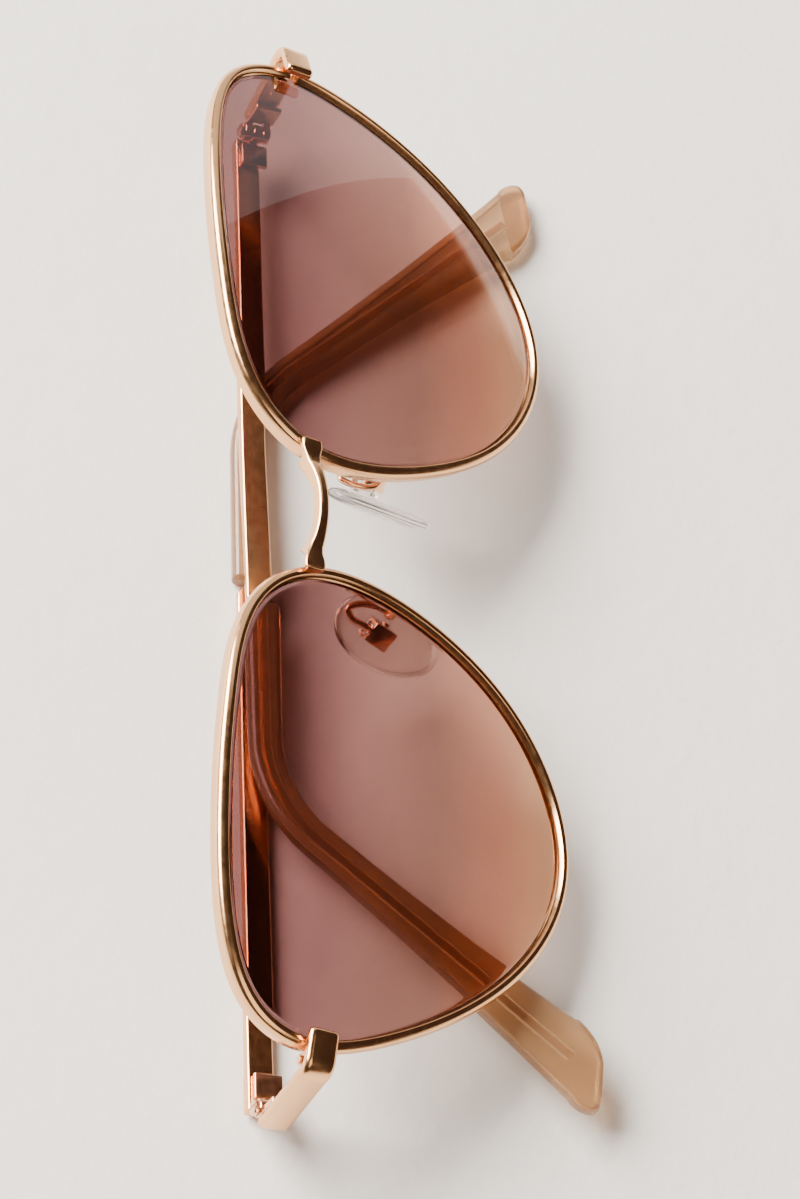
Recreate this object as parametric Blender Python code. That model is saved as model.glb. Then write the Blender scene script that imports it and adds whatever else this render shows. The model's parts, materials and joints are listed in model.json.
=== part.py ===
"""Aviator sunglasses, folded and lying lenses up, with the temples crossed underneath.

The right temple lies flat on Z = 0 and the left one lies above it. +X is the wearer's left,
+Y is towards the brow and +Z is out through the front of the lenses. Lengths are in metres.
"""

import math

import bmesh
import bpy
import numpy as np
from mathutils import Matrix, Vector

MM = 0.001

# Front: lens size, wrap and tilt
LENS_CENTRE = 36.8 * MM  # from the centre line to the lens's own centre
WRAP = math.radians(3.3)  # each lens is turned back at its outer side
BASE_RADIUS = 112 * MM  # radius of the sphere the lenses are cut from
PANTOSCOPIC = math.radians(13.5)  # the front leans against the temples' direction
LENS_THICK = 1.6 * MM
LENS_SET_BACK = 0.2 * MM  # the lens sits this far behind the eyewire's middle
# The eyewire's middle line seen square on, in mm: outwards from the lens's centre, then upwards.
LENS_OUTLINE = (
    (27.2, 0.0),
    (29.2, 9.5),
    (26.1, 16.3),
    (17.3, 20.6),
    (3.9, 22.1),
    (-7.8, 21.5),
    (-21.2, 17.8),
    (-28.5, 7.6),
    (-24.9, -9.1),
    (-15.1, -21.5),
    (0.0, -26.4),
    (16.8, -16.8),
)
RIM_STEPS = 132
# Eyewire section in mm: outwards from its middle line, then forwards.
RIM_SECTION = (
    (0.75, -0.95),
    (0.75, 0.85),
    (0.5, 1.2),
    (-0.1, 1.25),
    (-0.3, 0.95),
    (-0.75, 0.9),
    (-0.75, 0.6),
    (-0.15, -0.1),
    (-0.15, -0.3),
    (-0.75, -1.0),
    (-0.75, -1.25),
    (0.45, -1.25),
)
RIM_HALF_WIDE, RIM_HALF_DEEP = 0.75 * MM, 1.25 * MM
RIM_SPLIT = math.radians(15)  # where the eyewire is split, behind the endpiece
SPLIT_HALF_GAP = 0.15 * MM
LOCK_SIZE = (1.4 * MM, 1.6 * MM)  # outwards and forwards
LOCK_TALL, LOCK_HALF_GAP = 1.8 * MM, 0.2 * MM
LOCK_SET_BACK = 0.45 * MM
LOCK_HOLE_R, LOCK_SCREW_R = 0.42 * MM, 0.3 * MM
LOCK_HEAD = (0.5 * MM, 0.35 * MM)  # radius and height

# Hinge, measured in the temple's open position
PIN_X, PIN_Y, PIN_Z = 67.3 * MM, 3.6 * MM, -19.6 * MM  # in the front's own axes
PIN_R = 0.55 * MM
PIN_HEAD = (0.95 * MM, 0.5 * MM)  # radius and height
BORE_R = 0.64 * MM
BARREL_R = 1.1 * MM
BARREL_H = 3.4 * MM
CENTRE_H = 1.1 * MM  # the temple's middle knuckle
KNUCKLE_GAP = 0.1 * MM
LEAF_THICK = 0.7 * MM
LEAF_LONG = 4.6 * MM
WEB_INSET = 0.05 * MM
STRAP_IN = 1.25 * MM  # inner face of strap and temple, outboard of the pin
STRAP_THICK = 1.4 * MM
STRAP_WIDE = 3.7 * MM
STRAP_CHAMFER = 0.25 * MM
STRAP_BEND = 1.7 * MM  # radius of the strap's corner, at its middle
TAB_IN = 1.7 * MM  # the tab reaches this far in over the eyewire
STRAP_END = 0.25 * MM  # the strap stops this far before the pin, the temple starts this far after
SOLDER_GAP = 0.15 * MM
LAP_GAP = 0.3 * MM  # under a tab lapped on the curved eyewire

# Temples
FOLD_SPLAY = math.radians(1.25)  # one folds this much past square and the other short of it
TEMPLE_TALL = 3.2 * MM
BAR_RISE = 0.6 * MM  # the bar's middle line above the hinge's
CORE_TALL, CORE_THICK = 1.3 * MM, 1.0 * MM  # the wire inside the tip
BLOCK_LONG = 4.5 * MM  # thicker end that the hinge leaf sits on
TIP_START = 70 * MM
BEND_START = 88 * MM
BEND_RADIUS = 18 * MM
BEND_ANGLE = math.radians(48)
TIP_LEAN = math.radians(12)  # the tip leans in towards the head, turned about the bar
TWIST_START = 48 * MM  # the bar takes up that turn between here and the tip
TIP_STRAIGHT = 43 * MM  # from the end of the bend to the middle of the tip's end
TIP_THICK = 2.6 * MM
TIP_OUT = 3.0 * MM  # outer face of tip and end block, outboard of the pin
TIP_TALL = (4.3 * MM, 4.0 * MM, 8.6 * MM)  # at the collar, at the bend, near the end
TIP_CORNER = 0.8 * MM
BAR_CORNER = 0.3 * MM
TIP_SLANT = 0.7  # how far the end face leans, as a slope
CORE_GAP = 0.16 * MM
CORE_SHORT = 5.0 * MM  # the wire ends this far before the tip does

# Bridge
BRIDGE_AT = math.radians(162)  # place round the lens where the bridge's tab is lapped
BRIDGE_TALL, BRIDGE_THICK = 1.3 * MM, 1.55 * MM
BRIDGE_DEEPER = 0.5 * MM  # how much deeper it grows towards its ends
BRIDGE_BOW, BRIDGE_SAG = 0.9 * MM, 0.35 * MM  # forwards and down in the middle
BRIDGE_TAB_TALL, BRIDGE_TAB_THICK = 2.7 * MM, 0.9 * MM

# Nose pads, on the wearer's left, in the front's own axes
PAD_AT = Vector((9.8, -6.2, -8.3)) * MM  # middle of the cushion's back
PAD_LONG, PAD_WIDE, PAD_THICK = 16.0 * MM, 8.8 * MM, 1.9 * MM
PAD_SPLAY = math.radians(20)  # the long axis leans out towards the cheek
PAD_TURN = math.radians(52)  # the face turns from straight back towards the nose
BOX_SIZE = Vector((2.5, 3.4, 1.9)) * MM
BOX_UP = 3.2 * MM  # the box sits this far above the cushion's middle
BOX_DROP = 0.95 * MM  # from the cushion's back to the box
BOX_WALL = 0.45 * MM
PLATE_THICK, PLATE_HALF = 0.45 * MM, 1.25 * MM
PAD_SCREW_R, PAD_HOLE_R = 0.32 * MM, 0.42 * MM
PAD_HEAD = (0.55 * MM, 0.3 * MM)  # radius and height
ARM_R = 0.45 * MM
ARM_AT = math.radians(186)  # place round the lens where the wire is soldered
# The wire's curl between the eyewire and the box, in mm.
ARM_CURL = ((8.6, -2.1, -4.6), (8.4, 0.0, -5.2), (9.1, 1.6, -5.9), (10.1, 1.0, -6.3))


def clear_scene():
    for obj in list(bpy.data.objects):
        bpy.data.objects.remove(obj, do_unlink=True)


def material(name, color, roughness, metallic=0.0, transmission=0.0, alpha=1.0):
    mat = bpy.data.materials.new(name)
    mat.use_nodes = True
    shader = mat.node_tree.nodes["Principled BSDF"]
    shader.inputs["Base Color"].default_value = (*color, 1.0)
    shader.inputs["Roughness"].default_value = roughness
    shader.inputs["Metallic"].default_value = metallic
    shader.inputs["Transmission Weight"].default_value = transmission
    shader.inputs["Alpha"].default_value = alpha
    return mat


def empty(name, matrix, parent=None):
    obj = bpy.data.objects.new(name, None)
    obj.empty_display_size = 5 * MM
    obj.parent = parent
    obj.matrix_basis = matrix
    bpy.context.scene.collection.objects.link(obj)
    return obj


def add(name, bm, mat, parent, smooth=True, angle=40):
    """One named, closed object under its parent empty, in that empty's axes."""
    bmesh.ops.recalc_face_normals(bm, faces=bm.faces)
    if bm.calc_volume(signed=True) < 0:
        bmesh.ops.reverse_faces(bm, faces=bm.faces)
    for edge in bm.edges:
        if len(edge.link_faces) == 2:
            edge.smooth = edge.calc_face_angle(0.0) < math.radians(angle)
    for face in bm.faces:
        face.smooth = smooth
    mesh = bpy.data.meshes.new(name)
    bm.to_mesh(mesh)
    bm.free()
    mesh.materials.append(mat)
    obj = bpy.data.objects.new(name, mesh)
    obj.parent = parent
    bpy.context.scene.collection.objects.link(obj)
    return obj


def mirrored(points, side):
    """Points drawn for the wearer's left, turned over for the right when side is -1."""
    return [Vector((side * p[0], p[1], p[2])) for p in points]


def loft(rings, closed=False, caps=True):
    """A bmesh through rings of equally many points. closed joins the last ring to the first."""
    bm = bmesh.new()
    rows = [[bm.verts.new(p) for p in ring] for ring in rings]
    pairs = list(zip(rows, rows[1:])) + ([(rows[-1], rows[0])] if closed else [])
    for a, b in pairs:
        for i in range(len(a)):
            j = (i + 1) % len(a)
            bm.faces.new((a[i], a[j], b[j], b[i]))
    if caps and not closed:
        bm.faces.new(rows[0][::-1])
        bm.faces.new(rows[-1])
    return bm


def closed_spline(knots, steps):
    """Points evenly spread along a smooth closed curve through the knots."""
    knots = np.array(knots, float)
    count = len(knots)
    span = np.sqrt(np.linalg.norm(np.roll(knots, -1, axis=0) - knots, axis=1))
    # Cyclic cubic spline: solve for the tangents that keep the curvature continuous.
    system = np.zeros((count, count))
    right = np.zeros((count, 2))
    for i in range(count):
        before, after = span[i - 1], span[i]
        system[i, i - 1], system[i, i], system[i, (i + 1) % count] = after, 2 * (before + after), before
        rise_before = (knots[i] - knots[i - 1]) / before
        rise_after = (knots[(i + 1) % count] - knots[i]) / after
        right[i] = 3 * (after * rise_before + before * rise_after)
    tangent = np.linalg.solve(system, right)
    fine = []
    for i in range(count):
        j = (i + 1) % count
        for s in np.linspace(0, 1, 40, endpoint=False):
            fine.append(
                (2 * s**3 - 3 * s**2 + 1) * knots[i]
                + (s**3 - 2 * s**2 + s) * span[i] * tangent[i]
                + (3 * s**2 - 2 * s**3) * knots[j]
                + (s**3 - s**2) * span[i] * tangent[j]
            )
    fine = np.array(fine + [fine[0]])
    along = np.concatenate([[0], np.cumsum(np.linalg.norm(np.diff(fine, axis=0), axis=1))])
    at = np.linspace(0, along[-1], steps, endpoint=False)
    return np.stack([np.interp(at, along, fine[:, k]) for k in (0, 1)], axis=1)


class LensFrame:
    """Places points of one lens, drawn square on, on its sphere in the front's axes (wearer's left)."""

    def __init__(self):
        self.turn = Matrix.Rotation(WRAP, 3, "Y")
        self.centre = Vector((LENS_CENTRE, 0, 0))

    def normal(self, a, b):
        return Vector((a, b, math.sqrt(BASE_RADIUS**2 - a * a - b * b))).normalized()

    def point(self, a, b, forward=0.0):
        """The point a outwards and b up, moved forward square to the sphere."""
        n = self.normal(a, b)
        local = n * (BASE_RADIUS + forward) - Vector((0, 0, BASE_RADIUS))
        return self.centre + self.turn @ local

    def direction(self, vector):
        return self.turn @ vector


LENS = LensFrame()


def rim_station(outline, i):
    """(a, b, outward a, outward b) at one step of the eyewire's middle line."""
    ahead, behind = outline[(i + 1) % len(outline)], outline[i - 1]
    tangent = (ahead - behind) / np.linalg.norm(ahead - behind)
    outward = np.array([tangent[1], -tangent[0]])
    return outline[i], outward


def rim_ring(outline, i, section):
    """One cross-section of a band that follows the eyewire, as points in the front's axes."""
    at, outward = rim_station(outline, i)
    ring = []
    for out, forward in section:
        a, b = at + outward * out * MM
        ring.append(LENS.point(a, b, forward * MM))
    return ring


def outline_points():
    """The eyewire's middle line in metres, starting at its split and going round."""
    points = closed_spline([(a * MM, b * MM) for a, b in LENS_OUTLINE], 720)
    angle = np.unwrap(np.arctan2(points[:, 1], points[:, 0]))
    if angle[-1] < angle[0]:
        points, angle = points[::-1], angle[::-1]
    start = int(np.argmin(np.abs((angle - RIM_SPLIT + math.pi) % (2 * math.pi) - math.pi)))
    points = np.roll(points, -start, axis=0)
    ring = np.vstack([points, points[:1]])
    along = np.concatenate([[0], np.cumsum(np.linalg.norm(np.diff(ring, axis=0), axis=1))])
    at = np.linspace(SPLIT_HALF_GAP, along[-1] - SPLIT_HALF_GAP, RIM_STEPS)
    return np.stack([np.interp(at, along, ring[:, k]) for k in (0, 1)], axis=1)


OUTLINE = outline_points()


def inset_outline(distance):
    """The middle line moved inwards, for the lens's edge."""
    points = []
    for i in range(len(OUTLINE)):
        at, outward = rim_station(OUTLINE, i)
        points.append(at - outward * distance)
    return points


def make_rim(name, side, mat, parent):
    rings = [mirrored(rim_ring(OUTLINE, i, RIM_SECTION), side) for i in range(1, len(OUTLINE) - 1)]
    # The two ends are cut square at the split.
    add(name, loft(rings), mat, parent, angle=25)


def make_lens(name, side, mat, parent):
    """A curved plate whose edge is bevelled to sit in the eyewire's groove."""
    half = LENS_THICK / 2
    edge = [
        (0.39 * MM, -0.08 * MM),
        (1.0 * MM, -half),
        (2.4 * MM, -half),
    ]
    bm = bmesh.new()

    def ring(distance, forward, scale=1.0):
        return [
            bm.verts.new(mirrored([LENS.point(a * scale, b * scale, forward - LENS_SET_BACK)], side)[0])
            for a, b in inset_outline(distance)
        ]

    rows = [ring(2.4 * MM, half, s) for s in (0.35, 0.7)]
    rows += [ring(d, -f) for d, f in reversed(edge)]
    rows += [ring(d, f) for d, f in edge]
    rows += [ring(2.4 * MM, -half, s) for s in (0.7, 0.35)]
    count = len(rows[0])
    for a, b in zip(rows, rows[1:]):
        for i in range(count):
            j = (i + 1) % count
            bm.faces.new((a[i], a[j], b[j], b[i]))
    for row, forward in ((rows[0], half), (rows[-1], -half)):
        middle = bm.verts.new(mirrored([LENS.point(0, 0, forward - LENS_SET_BACK)], side)[0])
        for i in range(count):
            bm.faces.new((row[(i + 1) % count], row[i], middle))
    add(name, bm, mat, parent, angle=30)


def box_between(corner, opposite):
    low = Vector(map(min, zip(corner, opposite)))
    high = Vector(map(max, zip(corner, opposite)))
    bm = bmesh.new()
    bmesh.ops.create_cube(bm, size=1.0)
    bmesh.ops.scale(bm, vec=high - low, verts=bm.verts)
    bmesh.ops.translate(bm, vec=(low + high) / 2, verts=bm.verts)
    return bm


def bar_ring(centre, width_dir, thick_dir, width, thick, chamfer):
    """A rectangle with cut corners, square to a bar's run."""
    w, t = width / 2, thick / 2
    corners = ((w - chamfer, t), (w, t - chamfer), (w, chamfer - t), (w - chamfer, -t))
    ring = list(corners) + [(-x, -y) for x, y in corners]
    return [centre + width_dir * x + thick_dir * y for x, y in ring]


BACK = Vector((0, -math.sin(PANTOSCOPIC), -math.cos(PANTOSCOPIC)))  # the open temple's direction
UPRIGHT = Vector((0, math.cos(PANTOSCOPIC), -math.sin(PANTOSCOPIC)))  # the hinge axis
PIN = Vector((PIN_X, PIN_Y, PIN_Z))
OUT = Vector((1, 0, 0))


def make_endpiece(name, side, mat, parent):
    """A strap lapped on the eyewire's front, bent round its corner and run back to the hinge."""
    split = OUTLINE[0]
    front = LENS.point(split[0], split[1], RIM_HALF_DEEP)
    normal = LENS.direction(LENS.normal(*split))
    run = (OUT - normal * OUT.dot(normal)).normalized()
    start = front + normal * (LAP_GAP + STRAP_THICK / 2) - run * TAB_IN
    # The corner's centre is one bend radius behind the tab's middle plane, inboard of the strap.
    strap_x = PIN_X + STRAP_IN + STRAP_THICK / 2
    reach = (strap_x - STRAP_BEND * (1 - normal.x) - start.x) / run.x
    corner = start + run * reach - normal * STRAP_BEND
    level = Vector((0, 1, 0))
    stations = [(start, level, normal), (start + run * reach * 0.6, level, normal)]
    turned = math.pi / 2 - math.asin(normal.x)
    for share in np.linspace(0, 1, 6):
        facing = (normal * math.cos(share * turned) + run * math.sin(share * turned)).normalized()
        stations.append((corner + facing * STRAP_BEND, level.lerp(UPRIGHT, share), facing))
    end = PIN - BACK * STRAP_END + OUT * (STRAP_IN + STRAP_THICK / 2)
    last = stations[-1][0]
    stations += [(last.lerp(end, share), UPRIGHT, OUT) for share in (0.35, 0.7, 1.0)]
    rings = []
    for centre, width_dir, thick_dir in stations:
        width_dir = (width_dir - thick_dir * width_dir.dot(thick_dir)).normalized()
        ring = bar_ring(centre, width_dir, thick_dir, STRAP_WIDE, STRAP_THICK, STRAP_CHAMFER)
        rings.append(mirrored(ring, side))
    add(name, loft(rings), mat, parent, angle=35)


def knuckle(low, high, steps=20):
    """A ring about the pin between two heights, as an annular tube, in hinge axes."""
    bm = bmesh.new()
    rows = []
    for radius, height in ((BARREL_R, low), (BARREL_R, high), (BORE_R, high), (BORE_R, low)):
        rows.append(
            [
                bm.verts.new((radius * math.cos(u), height, radius * math.sin(u)))
                for u in np.linspace(0, 2 * math.pi, steps, endpoint=False)
            ]
        )
    for a, b in zip(rows, rows[1:] + rows[:1]):
        for i in range(steps):
            j = (i + 1) % steps
            bm.faces.new((a[i], a[j], b[j], b[i]))
    bmesh.ops.recalc_face_normals(bm, faces=bm.faces)
    return bm


def hinge_leaf(name, mat, parent, matrix, side, spans, sign):
    """Knuckles about the pin and the flat leaf they grow from.

    In hinge axes X is outwards, Y is the hinge axis and Z is forwards (sign 1, the leaf on the
    endpiece) or backwards along the temple (sign -1).
    """
    leaf_out = STRAP_IN - SOLDER_GAP
    leaf_in = leaf_out - LEAF_THICK
    half = BARREL_H / 2
    leaf_start, web_end = BARREL_R + 0.35 * MM, BARREL_R + 0.6 * MM
    pieces = [box_between((leaf_in, -half, sign * leaf_start), (leaf_out, half, sign * LEAF_LONG))]
    for low, high in spans:
        pieces.append(knuckle(low, high))
        # The web that joins the knuckle to the leaf, outside the bore and a little inside their faces.
        web_in, web_out = BORE_R + 0.1 * MM, leaf_out - WEB_INSET
        web = (web_in, low + WEB_INSET, 0.0), (web_out, high - WEB_INSET, sign * web_end)
        pieces.append(box_between(*web))
    objects = []
    for k, bm in enumerate(pieces):
        place(bm, matrix, side)
        if side * matrix.determinant() < 0:
            bmesh.ops.reverse_faces(bm, faces=bm.faces)
        objects.append(add(f"{name}_piece{k}" if k else name, bm, mat, parent, angle=30))
    body = objects[0]
    for k, other in enumerate(objects[1:]):
        union = body.modifiers.new(f"join{k}", "BOOLEAN")
        union.operation, union.solver, union.object = "UNION", "EXACT", other
        other.hide_render = True
        other.display_type = "WIRE"
    return body


def cylinder(radius, bottom, top, steps=20, head=None):
    """A round pin along Y, with an optional wider head (radius, height) on top."""
    profile = [(radius, bottom), (radius, top)]
    if head:
        profile += [(head[0], top), (head[0], top + head[1])]
    turns = np.linspace(0, 2 * math.pi, steps, endpoint=False)
    rings = [[Vector((r * math.cos(u), y, r * math.sin(u))) for u in turns] for r, y in profile]
    return loft(rings)


def place(bm, matrix, side=1):
    """Moves a bmesh by the matrix, then turns it over to the wearer's right when side is -1."""
    for vert in bm.verts:
        point = matrix @ vert.co
        vert.co = Vector((side * point.x, point.y, point.z))
    return bm


def tip_centre(distance):
    """(along, down, heading) of the temple's centre line at a distance from the pin."""
    arc = BEND_RADIUS * BEND_ANGLE
    if distance <= BEND_START:
        return distance, 0.0, 0.0
    turned = min((distance - BEND_START) / BEND_RADIUS, BEND_ANGLE)
    along = BEND_START + BEND_RADIUS * math.sin(turned)
    down = BEND_RADIUS * (1 - math.cos(turned))
    rest = distance - BEND_START - arc
    if rest > 0:
        along += rest * math.cos(BEND_ANGLE)
        down += rest * math.sin(BEND_ANGLE)
    return along, down, turned


TEMPLE_END = BEND_START + BEND_RADIUS * BEND_ANGLE + TIP_STRAIGHT
CORE_OUT = TIP_OUT - TIP_THICK / 2 + CORE_THICK / 2


def tip_height(distance):
    """The tip's height across its centre line, growing smoothly towards the end."""
    collar, bend, end = TIP_TALL
    if distance < BEND_START:
        return collar + (bend - collar) * (distance - TIP_START) / (BEND_START - TIP_START)
    u = min((distance - BEND_START) / (TEMPLE_END - 2 * MM - BEND_START), 1.0)
    return bend + (end - bend) * u**2.6


def temple_section(distance, tall, thick, outer, corner, steps=3, lean=0.0):
    """A rounded rectangle across the temple, folded axes: X along it, Y up, Z inwards."""
    along, down, heading = tip_centre(distance)
    run = Vector((math.cos(heading), -math.sin(heading), 0))
    up = Vector((math.sin(heading), math.cos(heading), 0))
    centre = Vector((along, BAR_RISE - down, -(outer - thick / 2)))
    ring = []
    for sx, sz, first in ((1, 1, 0), (-1, 1, 90), (-1, -1, 180), (1, -1, 270)):
        for k in range(steps + 1):
            u = math.radians(first + 90 * k / steps)
            high = sx * (tall / 2 - corner) + corner * math.cos(u)
            deep = sz * (thick / 2 - corner) + corner * math.sin(u)
            ring.append(centre + up * high + Vector((0, 0, 1)) * deep + run * lean * high)
    share = min(max((distance - TWIST_START) / (TIP_START - 2 * MM - TWIST_START), 0.0), 1.0)
    twist = Matrix.Rotation(-TIP_LEAN * share, 3, "X")
    return [twist @ point for point in ring]


def make_temple(name, side, mat, parent):
    """The flat bar with a thicker end at the hinge, drawn down to the wire inside the tip."""
    corner = BAR_CORNER
    bar = dict(tall=TEMPLE_TALL, thick=STRAP_THICK, outer=STRAP_IN + STRAP_THICK, corner=corner)
    # The block's lower corner comes down to the same plane as the tip's flat face.
    level = TIP_OUT - corner - (TEMPLE_TALL / 2 - BAR_RISE - corner) * math.sin(TIP_LEAN)
    block_out = level / math.cos(TIP_LEAN) + corner
    block = dict(tall=TEMPLE_TALL, thick=block_out - STRAP_IN, outer=block_out, corner=corner)
    core = dict(tall=CORE_TALL, thick=CORE_THICK, outer=CORE_OUT, corner=corner)
    stations = [(STRAP_END, block), (BLOCK_LONG, block), (BLOCK_LONG + 0.6 * MM, bar)]
    stations += [(30 * MM, bar)]
    twisting = TIP_START - 1.6 * MM - TWIST_START
    stations += [(TWIST_START + twisting * k / 6, bar) for k in range(7)]
    stations += [(TIP_START - 0.4 * MM, core), (BEND_START, core)]
    arc = BEND_RADIUS * BEND_ANGLE
    stations += [(BEND_START + arc * k / 8, core) for k in range(1, 9)]
    stations += [(TEMPLE_END - CORE_SHORT, core)]
    rings = [mirrored(temple_section(d, **shape), side) for d, shape in stations]
    add(name, loft(rings), mat, parent, angle=35)


def make_tip(name, side, mat, parent):
    """The sleeve over the temple's end, with a blind channel for the wire and a slanted end."""
    tall, thick = CORE_TALL + 2 * CORE_GAP, CORE_THICK + 2 * CORE_GAP
    channel = dict(tall=tall, thick=thick, outer=CORE_OUT + CORE_GAP, corner=BAR_CORNER)
    arc = BEND_RADIUS * BEND_ANGLE
    along = [TIP_START, TIP_START + 0.5 * MM, (TIP_START + BEND_START) / 2, BEND_START]
    along += [BEND_START + arc * k / 8 for k in range(1, 9)]
    rest = TEMPLE_END - 4.5 * MM - along[-1]
    along += [along[-1] + rest * k / 5 for k in range(1, 6)]
    outer = []
    for k, d in enumerate(along):
        lean = TIP_SLANT * max(0.0, (k - len(along) + 5) / 4)
        tall = tip_height(d) - (0.5 * MM if k == 0 else 0)
        thick = TIP_THICK - (0.5 * MM if k == 0 else 0)
        outside = TIP_OUT - (0.25 * MM if k == 0 else 0)
        outer.append(temple_section(d, tall, thick, outside, TIP_CORNER, lean=lean))
    end_tall = tip_height(TEMPLE_END)
    for back, shrink, thin in ((2.2, 0.9, 0.0), (0.8, 2.6, 0.3), (0.0, 4.8, 1.0)):
        d = TEMPLE_END - back * MM
        tall, thick = end_tall - shrink * MM, TIP_THICK - thin * MM
        outside, corner = TIP_OUT - thin * MM / 2, min(TIP_CORNER, thick * 0.4)
        outer.append(temple_section(d, tall, thick, outside, corner, lean=TIP_SLANT))
    inner_end = TEMPLE_END - CORE_SHORT + 0.4 * MM
    inner = [temple_section(TIP_START, **channel)]
    inner += [temple_section(d, **channel) for d in along[2:] if d < inner_end - 1 * MM]
    inner += [temple_section(inner_end, **channel)]
    # One skin: from the channel's blind end out to the collar, then over the outside to the tip.
    rings = inner[::-1] + outer
    add(name, loft([mirrored(ring, side) for ring in rings]), mat, parent, angle=35)


def nearest_to(angle):
    """The point of the eyewire's middle line at an angle round the lens."""
    def miss(point):
        return abs((math.atan2(point[1], point[0]) - angle + math.pi) % (2 * math.pi) - math.pi)
    return min(OUTLINE, key=miss)


def make_bridge(mat, parent):
    """A slim bar between the rims, bowed forwards, with a flat tab lapped on each rim's front."""
    a, b = nearest_to(BRIDGE_AT)
    normal = LENS.direction(LENS.normal(a, b))
    tab = LENS.point(a, b, RIM_HALF_DEEP + SOLDER_GAP + BRIDGE_TAB_THICK / 2)
    up, forward = Vector((0, 1, 0)), Vector((0, 0, 1))
    half = [
        (tab + OUT * x * MM + up * 0.5 * MM, up, normal, BRIDGE_TAB_TALL - cut * MM, BRIDGE_TAB_THICK)
        for x, cut in ((0.75, 0.6), (0.35, 0), (-0.4, 0), (-1.3, 1.2))
    ]
    # The bar is deeper than its tabs, and its front face runs on from theirs.
    neck = tab - OUT * 2.4 * MM + forward * BRIDGE_TAB_THICK / 2
    for share in np.linspace(1, 0, 8):
        swell, deep = 1 - share**2, BRIDGE_THICK + BRIDGE_DEEPER * share**2
        forwards = neck.z + BRIDGE_BOW * swell - deep / 2
        centre = Vector((neck.x * share, neck.y - BRIDGE_SAG * swell, forwards))
        half.append((centre, up, forward, BRIDGE_TALL, deep))
    other = [
        (mirrored([centre], -1)[0], wide_dir, mirrored([thick_dir], -1)[0], wide, thick)
        for centre, wide_dir, thick_dir, wide, thick in reversed(half[:-1])
    ]
    rings = []
    for centre, wide_dir, thick_dir, wide, thick in half + other:
        wide_dir = (wide_dir - thick_dir * wide_dir.dot(thick_dir)).normalized()
        rings.append(bar_ring(centre, wide_dir, thick_dir, wide, thick, 0.35 * MM))
    add("bridge", loft(rings), mat, parent, angle=35)


def split_axes():
    """(point, outward, along, forward) of the eyewire at its split, on the wearer's left."""
    at = (OUTLINE[0] + OUTLINE[-1]) / 2
    across = OUTLINE[0] - OUTLINE[-1]
    square = np.array([across[1], -across[0]]) / np.linalg.norm(across)
    square *= math.copysign(1, square @ at)
    point = LENS.point(at[0], at[1])
    forward = LENS.direction(LENS.normal(at[0], at[1]))
    outward = LENS.point(*(at + square * MM)) - point
    outward = (outward - forward * outward.dot(forward)).normalized()
    along = forward.cross(outward).normalized()
    if along.y < 0:
        along = -along
    return point, outward, along, forward


def drilled_block(size, hole, low, high, steps=24):
    """A square block standing along Y with a round hole through it, as one skin."""
    bm = bmesh.new()
    rows = []
    for square, height in ((True, low), (True, high), (False, high), (False, low)):
        row = []
        for k in range(steps):
            turned = 2 * math.pi * (k + 0.5) / steps
            c, s = math.cos(turned), math.sin(turned)
            reach = 1 / max(abs(c), abs(s))
            x, z = (size[0] / 2 * c * reach, size[1] / 2 * s * reach) if square else (hole * c, hole * s)
            row.append(bm.verts.new(Vector((x, height, z))))
        rows.append(row)
    for a, b in zip(rows, rows[1:] + rows[:1]):
        for i in range(steps):
            j = (i + 1) % steps
            bm.faces.new((a[i], a[j], b[j], b[i]))
    return bm


def make_rim_lock(word, side, mat, screw_mat, parent):
    """Two blocks outside the eyewire's split and the screw that draws them together."""
    point, outward, along, forward = split_axes()
    axes = Matrix((outward, along, forward)).transposed().to_4x4()
    inner = RIM_HALF_WIDE + SOLDER_GAP
    axes.translation = point + outward * (inner + LOCK_SIZE[0] / 2) - forward * LOCK_SET_BACK
    for level, low in (("upper", LOCK_HALF_GAP), ("lower", -LOCK_HALF_GAP - LOCK_TALL)):
        block = place(drilled_block(LOCK_SIZE, LOCK_HOLE_R, low, low + LOCK_TALL), axes, side)
        add(f"rim_lock_{level}_{word}", block, mat, parent, angle=30)
    reach = LOCK_HALF_GAP + LOCK_TALL
    screw = cylinder(LOCK_SCREW_R, 0.1 * MM - reach, reach + SOLDER_GAP, steps=16, head=LOCK_HEAD)
    add(f"rim_lock_screw_{word}", place(screw, axes, side), screw_mat, parent, angle=30)


def pad_axes():
    """The left pad's own axes in the front: X across it, Y along it, Z out of its nose face."""
    face = Vector((-math.sin(PAD_TURN), 0.0, -math.cos(PAD_TURN)))
    long_axis = Vector((-math.sin(PAD_SPLAY), math.cos(PAD_SPLAY), 0.0))
    long_axis = (long_axis - face * long_axis.dot(face)).normalized()
    across = long_axis.cross(face).normalized()
    axes = Matrix((across, long_axis, face)).transposed().to_4x4()
    axes.translation = PAD_AT
    return axes


def make_pad(name, side, mat, parent, axes):
    """A soft oval cushion, flatter on the box side."""
    # Height as a share of the thickness, and the oval's size there.
    levels = ((0, 0.35), (0, 0.62), (0.13, 0.9), (0.42, 1), (0.74, 0.93), (0.92, 0.7), (1, 0.35))
    rings = []
    for height, size in levels:
        ring = []
        for u in np.linspace(0, 2 * math.pi, 40, endpoint=False):
            x = PAD_WIDE / 2 * size * math.cos(u) * (1 + 0.1 * math.sin(u))
            y = PAD_LONG / 2 * size**0.8 * math.sin(u)
            ring.append(Vector((x, y, height * PAD_THICK)))
        rings.append(ring)
    add(name, place(loft(rings), axes, side), mat, parent, angle=60)


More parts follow.
